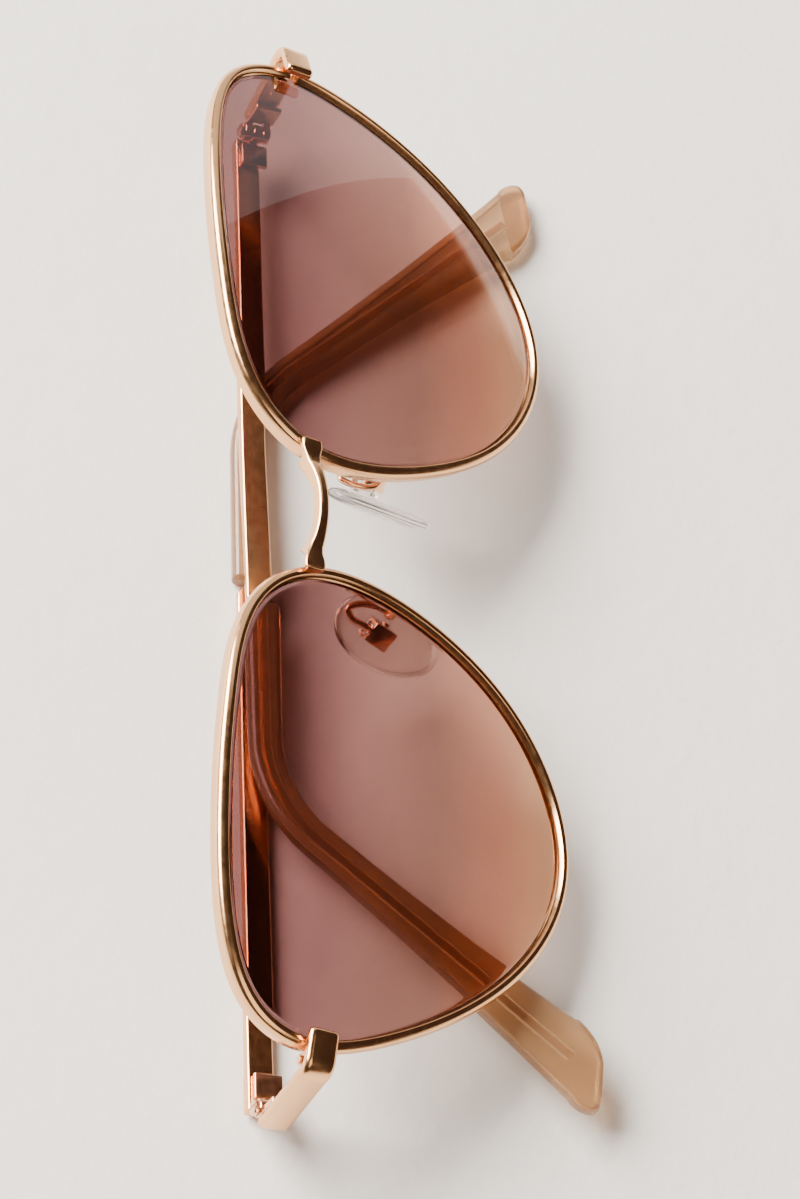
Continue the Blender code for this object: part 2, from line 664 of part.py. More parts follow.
def curve_points(points, steps):
    """A smooth open run through a few chosen points."""
    pts = [Vector(p) for p in points]
    pts = [2 * pts[0] - pts[1]] + pts + [2 * pts[-1] - pts[-2]]
    out = []
    for i in range(1, len(pts) - 2):
        p0, p1, p2, p3 = pts[i - 1 : i + 3]
        for k in range(steps):
            t = k / steps
            bend = (2 * p0 - 5 * p1 + 4 * p2 - p3) * t**2 + (3 * p1 - p0 - 3 * p2 + p3) * t**3
            out.append(0.5 * (2 * p1 + (p2 - p0) * t + bend))
    out.append(pts[-2])
    return out


def round_wire(points, radius, steps=10):
    """A round wire along the points, its rings kept from twisting."""
    turns = np.linspace(0, 2 * math.pi, steps, endpoint=False)
    rings, across = [], None
    for i, p in enumerate(points):
        run = (points[min(i + 1, len(points) - 1)] - points[max(i - 1, 0)]).normalized()
        across = across or run.orthogonal().normalized()
        across = (across - run * across.dot(run)).normalized()
        other = run.cross(across)
        rings.append([p + (across * math.cos(u) + other * math.sin(u)) * radius for u in turns])
    return loft(rings)


def drill(holed, bm, mat, parent):
    """Cuts a hole with a hidden cutter."""
    cutter = add(f"{holed.name}_drill", bm, mat, parent)
    cutter.hide_render = True
    cutter.display_type = "WIRE"
    cut = holed.modifiers.new("drill", "BOOLEAN")
    cut.operation, cut.solver, cut.object = "DIFFERENCE", "EXACT", cutter


def make_pad_box(name, side, mat, parent, axes):
    """A channel open towards the cushion, with a floor away from it. Its axes are the box's own."""
    x, y, z = BOX_SIZE / 2
    half = [(-x, -z), (-x, z), (BOX_WALL - x, z), (BOX_WALL - x, BOX_WALL - z)]
    profile = half + [(-px, pz) for px, pz in reversed(half)]
    rings = [[Vector((px, py, pz)) for px, pz in profile] for py in (-y, y)]
    return add(name, place(loft(rings), axes, side), mat, parent, angle=30)


def make_pad_insert(name, side, mat, parent, axes):
    """The cushion's core: a plate on its back and a tongue that stands in the box."""
    top = BOX_SIZE.z / 2 + BOX_DROP - SOLDER_GAP
    low = top - PLATE_THICK
    tongue = BOX_SIZE.x / 2 - BOX_WALL - SOLDER_GAP
    foot = BOX_WALL + 0.35 * MM - BOX_SIZE.z / 2
    half = [(-PLATE_HALF, top), (-PLATE_HALF, low), (-tongue, low), (-tongue, foot)]
    profile = half + [(-px, pz) for px, pz in reversed(half)]
    rings = [[Vector((px, py, pz)) for px, pz in profile] for py in (-PLATE_HALF, PLATE_HALF)]
    return add(name, place(loft(rings), axes, side), mat, parent, angle=30)


def make_pad_arm(name, side, mat, parent, box_axes):
    """The wire from the eyewire's back, round a curl, to the box's brow end."""
    a, b = nearest_to(ARM_AT)
    root = LENS.point(a, b, -RIM_HALF_DEEP - SOLDER_GAP)
    back = -LENS.direction(LENS.normal(a, b))
    end = Vector((0, BOX_SIZE.y / 2 + SOLDER_GAP, -BOX_SIZE.z / 4))
    route = [root, root + back * 0.9 * MM] + [Vector(p) * MM for p in ARM_CURL]
    route += [box_axes @ (end + Vector((0, 0.9 * MM, 0))), box_axes @ end]
    wire = round_wire(curve_points(route, 6), ARM_R)
    add(name, place(wire, Matrix.Identity(4), side), mat, parent, angle=60)


def make_nose_pad(word, side, metal, screw_mat, plastic, front):
    """One cushion on its wire, with the box and cross screw that let it rock."""
    axes = pad_axes()
    box_axes = axes @ Matrix.Translation((0, BOX_UP, -BOX_SIZE.z / 2 - BOX_DROP))
    at = mirrored([box_axes.translation], side)[0]
    pivot = empty(f"nose_pad_{word}_pivot", Matrix.Translation(at), front)
    # From the cushion's axes and the box's to the pivot's, which are turned as the front is.
    to_pivot = Matrix.Translation(-box_axes.translation)
    make_pad(f"nose_pad_{word}", side, plastic, pivot, to_pivot @ axes)
    across = Matrix.Rotation(-math.pi / 2, 4, "Z")
    box = make_pad_box(f"pad_box_{word}", side, metal, front, box_axes)
    insert = make_pad_insert(f"pad_insert_{word}", side, plastic, pivot, to_pivot @ box_axes)
    for holed, matrix, parent in ((box, box_axes, front), (insert, to_pivot @ box_axes, pivot)):
        hole = cylinder(PAD_HOLE_R, -BOX_SIZE.x, BOX_SIZE.x, steps=16)
        drill(holed, place(hole, matrix @ across, side), screw_mat, parent)
    reach = BOX_SIZE.x / 2 + SOLDER_GAP
    screw = cylinder(PAD_SCREW_R, -reach, reach, steps=16, head=PAD_HEAD)
    screw = place(screw, to_pivot @ box_axes @ across, side)
    add(f"pad_screw_{word}", screw, screw_mat, pivot, angle=30)
    make_pad_arm(f"pad_arm_{word}", side, metal, front, box_axes)


def centre_on_origin(roots):
    """Moves everything so that the middle of the footprint is at X = Y = 0, with the base at Z = 0."""
    bpy.context.view_layer.update()
    corners = [
        obj.matrix_world @ vert.co
        for obj in bpy.data.objects
        if obj.type == "MESH" and not obj.hide_render
        for vert in obj.data.vertices
    ]
    low = Vector([min(p[k] for p in corners) for k in range(3)])
    high = Vector([max(p[k] for p in corners) for k in range(3)])
    for root in roots:
        root.location -= Vector(((low.x + high.x) / 2, (low.y + high.y) / 2, low.z))
    bpy.context.view_layer.update()


def main():
    clear_scene()
    gold = material("rose_gold", (0.80, 0.56, 0.42), 0.28, metallic=1.0)
    gold_fine = material("rose_gold_small", (0.78, 0.53, 0.40), 0.32, metallic=1.0)
    screw = material("screw", (0.72, 0.50, 0.40), 0.35, metallic=1.0)
    tint = material("lens_tint", (0.45, 0.24, 0.20), 0.05, transmission=0.9)
    honey = material("tip_honey", (0.78, 0.56, 0.36), 0.25, transmission=0.35)
    clear = material("pad_clear", (0.9, 0.88, 0.86), 0.15, transmission=0.85)

    # The front leans by the pantoscopic angle and rolls so that the right temple lies flat.
    lean = Matrix.Rotation(PANTOSCOPIC, 4, "X")
    roll = Matrix.Rotation(-FOLD_SPLAY, 4, "Y")
    settle = Matrix.Rotation(TIP_LEAN, 4, "X")  # the right tip's flat face comes down level
    turn = settle @ roll @ lean
    drop = Vector((0, 0, TIP_OUT - (turn @ Vector((-PIN_X, PIN_Y, PIN_Z))).z))
    front = empty("front_frame", Matrix.Translation(drop) @ turn)
    pivots = []

    for side, word in ((1, "left"), (-1, "right")):
        make_rim(f"rim_{word}", side, gold, front)
        make_lens(f"lens_{word}", side, tint, front)
        make_endpiece(f"endpiece_{word}", side, gold, front)
        make_rim_lock(word, side, gold_fine, screw, front)

        # Hinge axes: X outwards, Y along the pin, Z forwards.
        hinge = Matrix((OUT, UPRIGHT, -BACK)).transposed().to_4x4()
        hinge.translation = PIN
        near, half = CENTRE_H / 2 + KNUCKLE_GAP, BARREL_H / 2
        spans = [(near, half), (-half, -near)]
        hinge_leaf(f"front_hinge_{word}", gold_fine, front, hinge, side, spans, 1)
        pin = cylinder(PIN_R, -half - 0.1 * MM, half + SOLDER_GAP, head=PIN_HEAD)
        add(f"hinge_screw_{word}", place(pin, hinge, side), screw, front, angle=30)

        # The temple's own axes: origin on the pin, folded, X along the bar. It is drawn for the
        # right, where the folded bar runs towards +X, and turned over for the left.
        at = drop + turn @ Vector((side * PIN_X, PIN_Y, PIN_Z))
        pivot = empty(f"temple_{word}_hinge", Matrix.Translation(at) @ settle)
        pivots.append(pivot)
        make_temple(f"temple_{word}", -side, gold, pivot)
        make_tip(f"temple_tip_{word}", -side, honey, pivot)
        # Outwards becomes down (-Z) and backwards becomes along the bar (+X) once folded.
        folded = Matrix(((0, 0, -1), (0, 1, 0), (-1, 0, 0))).to_4x4()
        spans = [(-CENTRE_H / 2, CENTRE_H / 2)]
        hinge_leaf(f"temple_hinge_{word}", gold_fine, pivot, folded, -side, spans, -1)

        make_nose_pad(word, side, gold_fine, screw, clear, front)

    make_bridge(gold, front)
    centre_on_origin([front] + pivots)


main()
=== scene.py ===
"""The looks of the aviator sunglasses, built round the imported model.

The front's own axes are X towards the wearer's left, Y up and Z out through the lenses. They come
from the record's hinges. Every piece is drawn for the wearer's left and turned over for the right.
"""

import json
import math

import bmesh
import bpy
import numpy as np
from mathutils import Matrix, Vector


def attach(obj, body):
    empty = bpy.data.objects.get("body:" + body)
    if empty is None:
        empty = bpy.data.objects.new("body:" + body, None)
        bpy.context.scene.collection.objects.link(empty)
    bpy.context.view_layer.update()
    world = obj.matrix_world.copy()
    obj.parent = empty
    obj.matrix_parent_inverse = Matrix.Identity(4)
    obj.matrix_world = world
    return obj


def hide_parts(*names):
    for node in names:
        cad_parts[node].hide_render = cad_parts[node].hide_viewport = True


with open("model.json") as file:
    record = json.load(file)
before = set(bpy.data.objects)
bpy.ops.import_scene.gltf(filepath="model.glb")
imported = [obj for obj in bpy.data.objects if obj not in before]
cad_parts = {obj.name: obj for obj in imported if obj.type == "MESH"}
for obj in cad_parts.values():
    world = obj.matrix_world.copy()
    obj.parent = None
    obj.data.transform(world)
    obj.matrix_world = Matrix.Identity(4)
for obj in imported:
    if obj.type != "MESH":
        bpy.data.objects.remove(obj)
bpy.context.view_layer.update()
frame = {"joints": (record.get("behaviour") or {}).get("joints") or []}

MM = 0.001
SIDES = ((1, "left"), (-1, "right"))

# Front, as in the CAD model
LENS_CENTRE = 36.8 * MM
WRAP = math.radians(3.3)
BASE_RADIUS = 112 * MM
PANTOSCOPIC = math.radians(13.5)
LENS_THICK = 1.6 * MM
LENS_SET_BACK = 0.2 * MM
LENS_OUTLINE = (
    (27.2, 0.0), (29.2, 9.5), (26.1, 16.3), (17.3, 20.6), (3.9, 22.1), (-7.8, 21.5),
    (-21.2, 17.8), (-28.5, 7.6), (-24.9, -9.1), (-15.1, -21.5), (0.0, -26.4), (16.8, -16.8),
)
# Eyewire section in mm: outwards, forwards, and the radius that rounds the corner.
RIM_SECTION = (
    (0.75, -0.95, 0.3), (0.75, 0.45, 0.5), (0.48, 1.08, 0.6), (-0.1, 1.3, 0.45),
    (-0.58, 1.17, 0.16), (-0.75, 0.55, 0.06), (-0.15, -0.05, 0.05), (-0.15, -0.35, 0.05),
    (-0.75, -1.0, 0.08), (-0.75, -1.25, 0.1), (0.5, -1.25, 0.2),
)
RIM_HALF_WIDE = 0.75 * MM
RIM_HALF_DEEP = 1.25 * MM
RIM_SPLIT = math.radians(15)
SPLIT_HALF_GAP = 0.15 * MM
RIM_STEPS = 420
LENS_EVERY = 2  # the lens takes every second point of the eyewire's curve
# The lens's bevel: inwards from the eyewire's middle line, and forwards of the middle plane.
LENS_BEVEL = (
    (0.39 * MM, 0.06 * MM), (0.45 * MM, 0.12 * MM),
    (1.0 * MM, LENS_THICK / 2 - 0.04 * MM), (1.12 * MM, LENS_THICK / 2),
)
LENS_FACE_IN = 1.3 * MM
LENS_RINGS = (0.05, 0.2, 0.35, 0.5, 0.65, 0.8, 0.92, 1.0)  # shares of the face's outline
LENS_FOOT, LENS_BROW = -27 * MM, 22.5 * MM  # where the tint starts and ends

# Hinge and endpiece
PIN = Vector((67.3, 3.6, -19.6)) * MM
PIN_R = 0.55 * MM
BARREL_H = 3.4 * MM
SOLDER_GAP = 0.15 * MM
LAP_GAP = 0.3 * MM
STRAP_IN = 1.25 * MM
STRAP_THICK = 1.4 * MM
STRAP_WIDE = 3.7 * MM
STRAP_BEND = 1.7 * MM
STRAP_END = 0.25 * MM
STRAP_CORNER, STRAP_SOFT = 0.62 * MM, 0.6 * MM
STRAP_BEND_STEPS = 16
TAB_IN = 1.7 * MM
KNUCKLE_R, KNUCKLE_BORE, KNUCKLE_SOFT = 1.1 * MM, 0.64 * MM, 0.08 * MM
# Half the temple's knuckle, and where the front's two start, both from the barrel's middle.
KNUCKLE_INNER, KNUCKLE_OUTER = 0.55 * MM, 0.65 * MM
# The webs join the knuckles to the leaf.
WEB_IN, WEB_LONG, WEB_INSET, WEB_SOFT = 0.74 * MM, 1.75 * MM, 0.05 * MM, 0.06 * MM
LEAF_THICK, LEAF_START, LEAF_END, LEAF_SOFT = 0.7 * MM, 1.45 * MM, 4.6 * MM, 0.14 * MM
SCREW_PAST = 0.1 * MM
HINGE_HEAD_R, HINGE_HEAD_TALL = 0.95 * MM, 0.5 * MM

# Rim lock
LOCK_WIDE, LOCK_DEEP, LOCK_BORE = 1.4 * MM, 1.6 * MM, 0.42 * MM
LOCK_CORNER, LOCK_SOFT, LOCK_END_SIZE = 0.22 * MM, 0.12 * MM, 0.86
LOCK_SPANS = (("upper", 0.2 * MM, 1.0 * MM), ("lower", -2.0 * MM, -0.2 * MM))  # from the split
LOCK_SET_BACK = 0.45 * MM
LOCK_SCREW_R, LOCK_SCREW_FOOT, LOCK_SCREW_TOP = 0.3 * MM, -1.9 * MM, 1.1 * MM
LOCK_HEAD_R, LOCK_HEAD_TALL = 0.5 * MM, 0.3 * MM

# Temples and tips
TEMPLE_TALL = 3.2 * MM
BAR_RISE = 0.6 * MM
BAR_CORNER = 0.32 * MM
CORE_TALL, CORE_THICK, CORE_CORNER = 0.95 * MM, 0.8 * MM, 0.3 * MM
BLOCK_START, BLOCK_LONG, BLOCK_SLOPE, BLOCK_SOFT = 1.2 * MM, 4.5 * MM, 0.6 * MM, 0.22 * MM
FLAT_START = 8 * MM
NARROWING = (1.6 * MM, 1.0 * MM, 0.4 * MM)  # how far before the tip the bar narrows to the wire
TIP_START = 70 * MM
BEND_START = 88 * MM
BEND_RADIUS = 18 * MM
BEND_ANGLE = math.radians(48)
TIP_LEAN = math.radians(12)
TWIST_START = 48 * MM
TIP_STRAIGHT = 43 * MM
TIP_THICK = 2.6 * MM
TIP_OUT = 3.0 * MM
TIP_TALL = (4.3 * MM, 4.0 * MM, 8.6 * MM)  # at the collar, the bend and the end
TIP_SWELL = 2.6  # the power by which its height grows past the bend
TIP_CORNER = 0.95 * MM
TIP_SLANT, SLANT_START = 0.7, 0.2  # the end's lean, and the share of the straight where it starts
TIP_COLLAR_CUT, TIP_COLLAR_LONG, TIP_COLLAR_END = 0.45 * MM, 0.5 * MM, 1.2 * MM
TIP_END_LONG = 4.5 * MM
TIP_END_CUT, TIP_CUT_POWER = 2.5 * MM, 1.15
TIP_END_THIN, TIP_THIN_POWER = 1.15 * MM, 2.6
CORE_GAP = 0.16 * MM
CORE_SHORT, CHANNEL_SPARE = 5.0 * MM, 0.4 * MM
TEMPLE_END = BEND_START + BEND_RADIUS * BEND_ANGLE + TIP_STRAIGHT
TWIST_END, FULL_HEIGHT_AT = TIP_START - 2 * MM, TEMPLE_END - 2 * MM
CORE_OUT = TIP_OUT - TIP_THICK / 2 + CORE_THICK / 2

# Bridge
BRIDGE_AT = math.radians(162)
BRIDGE_TALL, BRIDGE_THICK = 1.4 * MM, 1.6 * MM
BRIDGE_DEEPER, BRIDGE_FLARE = 0.7 * MM, 0.5 * MM
BRIDGE_BOW, BRIDGE_SAG = 0.9 * MM, 0.35 * MM
BRIDGE_TAB_TALL, BRIDGE_TAB_THICK, BRIDGE_TAB_RISE = 2.7 * MM, 0.9 * MM, 0.5 * MM
# Tab stations in mm: outwards along it, and how much less tall it is there.
BRIDGE_TAB = (
    (0.75, 0.6), (0.6, 0.2), (0.3, 0), (-0.3, 0), (-0.7, 0.15), (-1.0, 0.35), (-1.3, 0.55),
)
BRIDGE_TAB_CORNER, BRIDGE_CORNER, BRIDGE_SOFT = 0.3 * MM, 0.42 * MM, 0.2 * MM
BRIDGE_NECK = 2.4 * MM

# Nose pads
PAD_AT = Vector((9.8, -6.2, -8.3)) * MM
PAD_LONG, PAD_WIDE, PAD_THICK = 16.0 * MM, 8.8 * MM, 1.9 * MM
PAD_SPLAY = math.radians(20)
PAD_TURN = math.radians(52)
BOX_SIZE = Vector((2.5, 3.4, 1.9)) * MM
BOX_UP = 3.2 * MM
BOX_DROP = 0.95 * MM
BOX_WALL, BOX_FLOOR_GAP = 0.45 * MM, 0.35 * MM
FITTING_SOFT, FITTING_HOLE_HALF = 0.08 * MM, 2.5 * MM
# Cushion levels: the share of its thickness, and the share of its full outline there.
PAD_LEVELS = (
    (0.0, 0.3), (0.0, 0.6), (0.03, 0.75), (0.1, 0.86), (0.22, 0.94), (0.38, 0.98), (0.54, 0.985),
    (0.68, 0.96), (0.8, 0.89), (0.9, 0.76), (0.97, 0.55), (1.0, 0.3),
)
PAD_SCREW_R, PAD_SCREW_BORE = 0.32 * MM, 0.42 * MM
PAD_HEAD_R, PAD_HEAD_TALL = 0.55 * MM, 0.3 * MM
PAD_EGG, PAD_END_POWER = 0.1, 0.8  # how much wider one end is, and how slowly the ends draw in
INSERT_HALF_WIDE, INSERT_FLANGE, INSERT_HALF_LONG = 1.25 * MM, 0.45 * MM, 1.25 * MM
ARM_R = 0.42 * MM
ARM_AT = math.radians(186)
ARM_CURL = ((8.6, -2.1, -4.6), (8.4, 0.0, -5.2), (9.1, 1.6, -5.9), (10.1, 1.0, -6.3))
ARM_RUN = 0.9 * MM  # the straight lengths at the wire's two ends
WIRE_END = 0.3  # how much of its radius a wire's end is rounded by

OUT = Vector((1, 0, 0))
UPRIGHT = Vector((0, math.cos(PANTOSCOPIC), -math.sin(PANTOSCOPIC)))  # the hinges' axis
BACK = Vector((0, -math.sin(PANTOSCOPIC), -math.cos(PANTOSCOPIC)))  # an open temple's direction

# Each area light's name, place, aim, size, power in watts and colour
LIGHTS = (
    ("window", (0.5, 0.9, 0.8), (0, 0, 0), (1.25, 0.85), 107, (1.0, 0.957, 0.91)),
    ("ceiling", (-0.9, -0.3, 1.1), (0, 0, 0), (0.9, 0.9), 6, (1.0, 0.86, 0.72)),
    ("doorway", (1.133, -0.2, 0.85), (0, 0, 0.85), (1.17, 1.7), 6.2, (1.0, 0.97, 0.95)),
)
ROOM_COLOR, ROOM_STRENGTH = (1.0, 0.67, 0.60, 1), 0.05
# The camera's place, axes and lens, fitted once to the way the object is seen
CAMERA_AT = Vector((-251.885, 89.853, 405.967)) * MM
CAMERA_RIGHT = Vector((-0.041619, -0.978760, 0.200740))
CAMERA_DOWN = Vector((-0.852215, -0.070099, -0.518474))
CAMERA_AHEAD = Vector((0.521533, -0.192652, -0.831197))
CAMERA_LENS, CAMERA_SENSOR = 120.36, 36
TABLE_HALF = 8.0

# Each metal's name, light and dark colour, lowest and highest roughness, and bump depth
METALS = (
    ("rose_gold", (0.89, 0.50, 0.24), (0.85, 0.455, 0.21), 0.17, 0.25, 0.003 * MM),
    ("rose_gold_small", (0.93, 0.55, 0.34), (0.86, 0.48, 0.29), 0.14, 0.24, 0.004 * MM),
    ("screw", (0.88, 0.60, 0.42), (0.80, 0.52, 0.36), 0.2, 0.32, 0.004 * MM),
)
# A noise's values that the two ends of a colour or roughness range go to
NOISE_LOW, NOISE_HIGH = 0.3, 0.7


# ---------------------------------------------------------------- places

def joint(name):
    return next(j for j in frame["joints"] if j["name"] == name)


def front_matrix():
    """The front's own axes in the row frame, from its two hinges."""
    left, right = (Vector(joint(f"temple_{word}_fold")["pos_m"]) for _, word in SIDES)
    across = (left - right).normalized()
    upright = Vector(joint("temple_right_fold")["axis"]).normalized()
    forward = across.cross(upright).normalized()
    y = upright * math.cos(PANTOSCOPIC) + forward * math.sin(PANTOSCOPIC)
    z = forward * math.cos(PANTOSCOPIC) - upright * math.sin(PANTOSCOPIC)
    matrix = Matrix((across, y, z)).transposed().to_4x4()
    matrix.translation = left - matrix.to_3x3() @ PIN
    return matrix


FRONT = front_matrix()


def temple_matrix(word):
    """A folded temple's own axes: origin on its pin, X along the front, Y up along the pin."""
    upright = Vector(joint("temple_right_fold")["axis"]).normalized()
    x = Vector((1, 0, 0))
    matrix = Matrix((x, upright, x.cross(upright))).transposed().to_4x4()
    matrix.translation = Vector(joint(f"temple_{word}_fold")["pos_m"])
    return matrix


def pad_matrix():
    """The left pad's axes in the front: X across it, Y along it, Z out of its nose face."""
    face = Vector((-math.sin(PAD_TURN), 0.0, -math.cos(PAD_TURN)))
    along = Vector((-math.sin(PAD_SPLAY), math.cos(PAD_SPLAY), 0.0))
    along = (along - face * along.dot(face)).normalized()
    matrix = Matrix((along.cross(face).normalized(), along, face)).transposed().to_4x4()
    matrix.translation = PAD_AT
    return matrix


# ---------------------------------------------------------------- mesh tools

def quarter_turn(steps):
    """Angles from nothing to a right angle, in so many steps."""
    return [math.pi / 2 * k / steps for k in range(steps + 1)]


def full_turn(steps):
    """Angles once round in so many steps, without the last, which is the first again."""
    return [2 * math.pi * k / steps for k in range(steps)]


def turn_between(first, last):
    """The signed turn from one angle to another, at most half a turn either way."""
    return (last - first + math.pi) % (2 * math.pi) - math.pi


def eased(share):
    """A share from 0 to 1 that starts and ends gently."""
    return share * share * (3 - 2 * share)


def clamped(share):
    return min(max(share, 0.0), 1.0)


def spread(first, last, count):
    """So many numbers from first to last, evenly apart."""
    return [first + (last - first) * k / (count - 1) for k in range(count)]


def turned_over(points, side):
    """The points, or their mirror image across X where the side is -1."""
    return [Vector((side * p[0], p[1], p[2])) for p in points]


def skin(rings, closed=False):
    """A closed bmesh through rings of equally many points."""
    bm = bmesh.new()
    rows = [[bm.verts.new(p) for p in ring] for ring in rings]
    pairs = list(zip(rows, rows[1:])) + ([(rows[-1], rows[0])] if closed else [])
    for a, b in pairs:
        for i in range(len(a)):
            j = (i + 1) % len(a)
            bm.faces.new((a[i], a[j], b[j], b[i]))
    if not closed:
        bm.faces.new(rows[0][::-1])
        bm.faces.new(rows[-1])
    return bm


def piece(name, bm, mat, body, nodes, matrix, angle):
    """One named object in the row frame that rides on a body and stands for CAD nodes.

    The edges where its faces turn by more than the angle in degrees stay sharp.
    """
    bmesh.ops.recalc_face_normals(bm, faces=bm.faces)
    if bm.calc_volume(signed=True) < 0:
        bmesh.ops.reverse_faces(bm, faces=bm.faces)
    bm.transform(matrix)
    mesh = bpy.data.meshes.new(name)
    bm.to_mesh(mesh)
    bm.free()
    mesh.shade_smooth()
    mesh.set_sharp_from_angle(angle=math.radians(angle))
    mesh.materials.append(mat)
    obj = bpy.data.objects.new(name, mesh)
    bpy.context.scene.collection.objects.link(obj)
    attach(obj, body)
    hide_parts(*nodes)
    return obj


def rounded_rectangle(wide, thick, corner, steps=6):
    """An outline round the origin whose four corners are arcs of so many steps."""
    ring = []
    for sx, sy, first in ((1, 1, 0), (-1, 1, 90), (-1, -1, 180), (1, -1, 270)):
        for k in range(steps + 1):
            u = math.radians(first + 90 * k / steps)
            x = sx * (wide / 2 - corner) + corner * math.cos(u)
            ring.append((x, sy * (thick / 2 - corner) + corner * math.sin(u)))
    return ring


def rounded_polygon(corners, steps):
    """A closed outline whose corners, each (x, y, radius), are rounded by arcs."""
    out = []
    count = len(corners)
    for i, (x, y, radius) in enumerate(corners):
        at = np.array((x, y))
        before = np.array(corners[i - 1][:2]) - at
        after = np.array(corners[(i + 1) % count][:2]) - at
        long_before, long_after = np.linalg.norm(before), np.linalg.norm(after)
        before, after = before / long_before, after / long_after
        half = math.acos(np.clip(before @ after, -1, 1)) / 2
        cut = min(radius / math.tan(half), 0.45 * long_before, 0.45 * long_after)
        for k in range(steps + 1):
            t = k / steps
            out.append(at + before * cut * (1 - t) ** 2 + after * cut * t**2)
    return out


def soft_ended(stations, radius):
    """Bar stations with both ends rounded over by a small radius."""
    def end(first, second):
        centre, wide_dir, thick_dir, wide, thick, corner = first
        run = (first[0] - second[0]).normalized()
        made = []
        for u in quarter_turn(4):
            cut = radius * (1 - math.cos(u))
            at = centre - run * radius * (1 - math.sin(u))
            inner = max(corner - cut, 0.02 * MM)
            made.append((at, wide_dir, thick_dir, wide - 2 * cut, thick - 2 * cut, inner))
        return made
    return end(stations[0], stations[1])[::-1] + stations[1:-1] + end(stations[-1], stations[-2])


def bar(stations, side, soft):
    """A bar through (centre, width direction, thickness direction, width, thickness, corner)."""
    rings = []
    for centre, wide_dir, thick_dir, wide, thick, corner in soft_ended(stations, soft):
        wide_dir = (wide_dir - thick_dir * wide_dir.dot(thick_dir)).normalized()
        ring = rounded_rectangle(wide, thick, corner)
        rings.append(turned_over([centre + wide_dir * x + thick_dir * y for x, y in ring], side))
    return skin(rings)


def smooth_run(points, steps):
    """A smooth open run (Catmull-Rom) through a few chosen points."""
    pts = [Vector(p) for p in points]
    pts = [2 * pts[0] - pts[1]] + pts + [2 * pts[-1] - pts[-2]]
    out = []
    for i in range(1, len(pts) - 2):
        p0, p1, p2, p3 = pts[i - 1 : i + 3]
        for k in range(steps):
            t = k / steps
            bend = (2 * p0 - 5 * p1 + 4 * p2 - p3) * t**2 + (3 * p1 - p0 - 3 * p2 + p3) * t**3
            out.append(0.5 * (2 * p1 + (p2 - p0) * t + bend))
    out.append(pts[-2])
    return out


def wire(points, radius, side):
    """A round wire along the points, its ends rounded over."""
    across = None
    rings = []
    last = len(points) - 1
    for i, p in enumerate(points):
        run = (points[min(i + 1, last)] - points[max(i - 1, 0)]).normalized()
        across = across or run.orthogonal().normalized()
        across = (across - run * across.dot(run)).normalized()
        other = run.cross(across)
        shares = [(1.0, 0.0)]
        if i in (0, last):
            sign = -1 if i == 0 else 1
            shares = [
                (1 - WIRE_END + WIRE_END * math.cos(u), sign * WIRE_END * (math.sin(u) - 1))
                for u in quarter_turn(4)
            ]
            shares = shares[::-1] if i == 0 else shares
        for size, shift in shares:
            ring = []
            for u in full_turn(20):
                spoke = across * math.cos(u) + other * math.sin(u)
                ring.append(p + run * shift * radius + spoke * radius * size)
            rings.append(turned_over(ring, side))
    return skin(rings)


def circle(radius, height, steps):
    """Points round the Y axis at a height."""
    return [
        Vector((radius * math.cos(u), height, radius * math.sin(u))) for u in full_turn(steps)
    ]


def turned(profile, steps=48):
    """A turned solid about Y through (radius, height) points, closed at both ends."""
    return skin([circle(radius, height, steps) for radius, height in profile])


# ---------------------------------------------------------------- the eyewire's curve

def closed_spline(knots, steps):
    """Points evenly spread along a smooth closed curve through the knots."""
    knots = np.array(knots, float)
    count = len(knots)
    span = np.sqrt(np.linalg.norm(np.roll(knots, -1, axis=0) - knots, axis=1))
    system, right = np.zeros((count, count)), np.zeros((count, 2))
    for i in range(count):
        j = (i + 1) % count
        before, after = span[i - 1], span[i]
        system[i, i - 1], system[i, i], system[i, j] = after, 2 * (before + after), before
        back, ahead = knots[i] - knots[i - 1], knots[j] - knots[i]
        right[i] = 3 * (after * back / before + before * ahead / after)
    tangent = np.linalg.solve(system, right)
    fine = []
    for i in range(count):
        j = (i + 1) % count
        for s in np.linspace(0, 1, 60, endpoint=False):
            fine.append(
                (2 * s**3 - 3 * s**2 + 1) * knots[i] + (3 * s**2 - 2 * s**3) * knots[j]
                + (s**3 - 2 * s**2 + s) * span[i] * tangent[i]
                + (s**3 - s**2) * span[i] * tangent[j]
            )
    fine = np.array(fine + [fine[0]])
    along = np.concatenate([[0], np.cumsum(np.linalg.norm(np.diff(fine, axis=0), axis=1))])
    at = np.linspace(0, along[-1], steps, endpoint=False)
    return np.stack([np.interp(at, along, fine[:, k]) for k in (0, 1)], axis=1)


def outline_points():
    """The eyewire's middle line in metres, starting at its split and going round."""
    points = closed_spline([(a * MM, b * MM) for a, b in LENS_OUTLINE], 2400)
    angle = np.unwrap(np.arctan2(points[:, 1], points[:, 0]))
    if angle[-1] < angle[0]:
        points, angle = points[::-1], angle[::-1]
    start = int(np.argmin(np.abs(turn_between(RIM_SPLIT, angle))))
    points = np.roll(points, -start, axis=0)
    ring = np.vstack([points, points[:1]])
    along = np.concatenate([[0], np.cumsum(np.linalg.norm(np.diff(ring, axis=0), axis=1))])
    at = np.linspace(SPLIT_HALF_GAP, along[-1] - SPLIT_HALF_GAP, RIM_STEPS)
    return np.stack([np.interp(at, along, ring[:, k]) for k in (0, 1)], axis=1)


OUTLINE = outline_points()


def outward(i):
    """The way square to the eyewire's curve at its point i, away from the lens."""
    tangent = OUTLINE[(i + 1) % RIM_STEPS] - OUTLINE[i - 1]
    tangent /= np.linalg.norm(tangent)
    return np.array([tangent[1], -tangent[0]])


def sphere_normal(a, b):
    return Vector((a, b, math.sqrt(BASE_RADIUS**2 - a * a - b * b))).normalized()


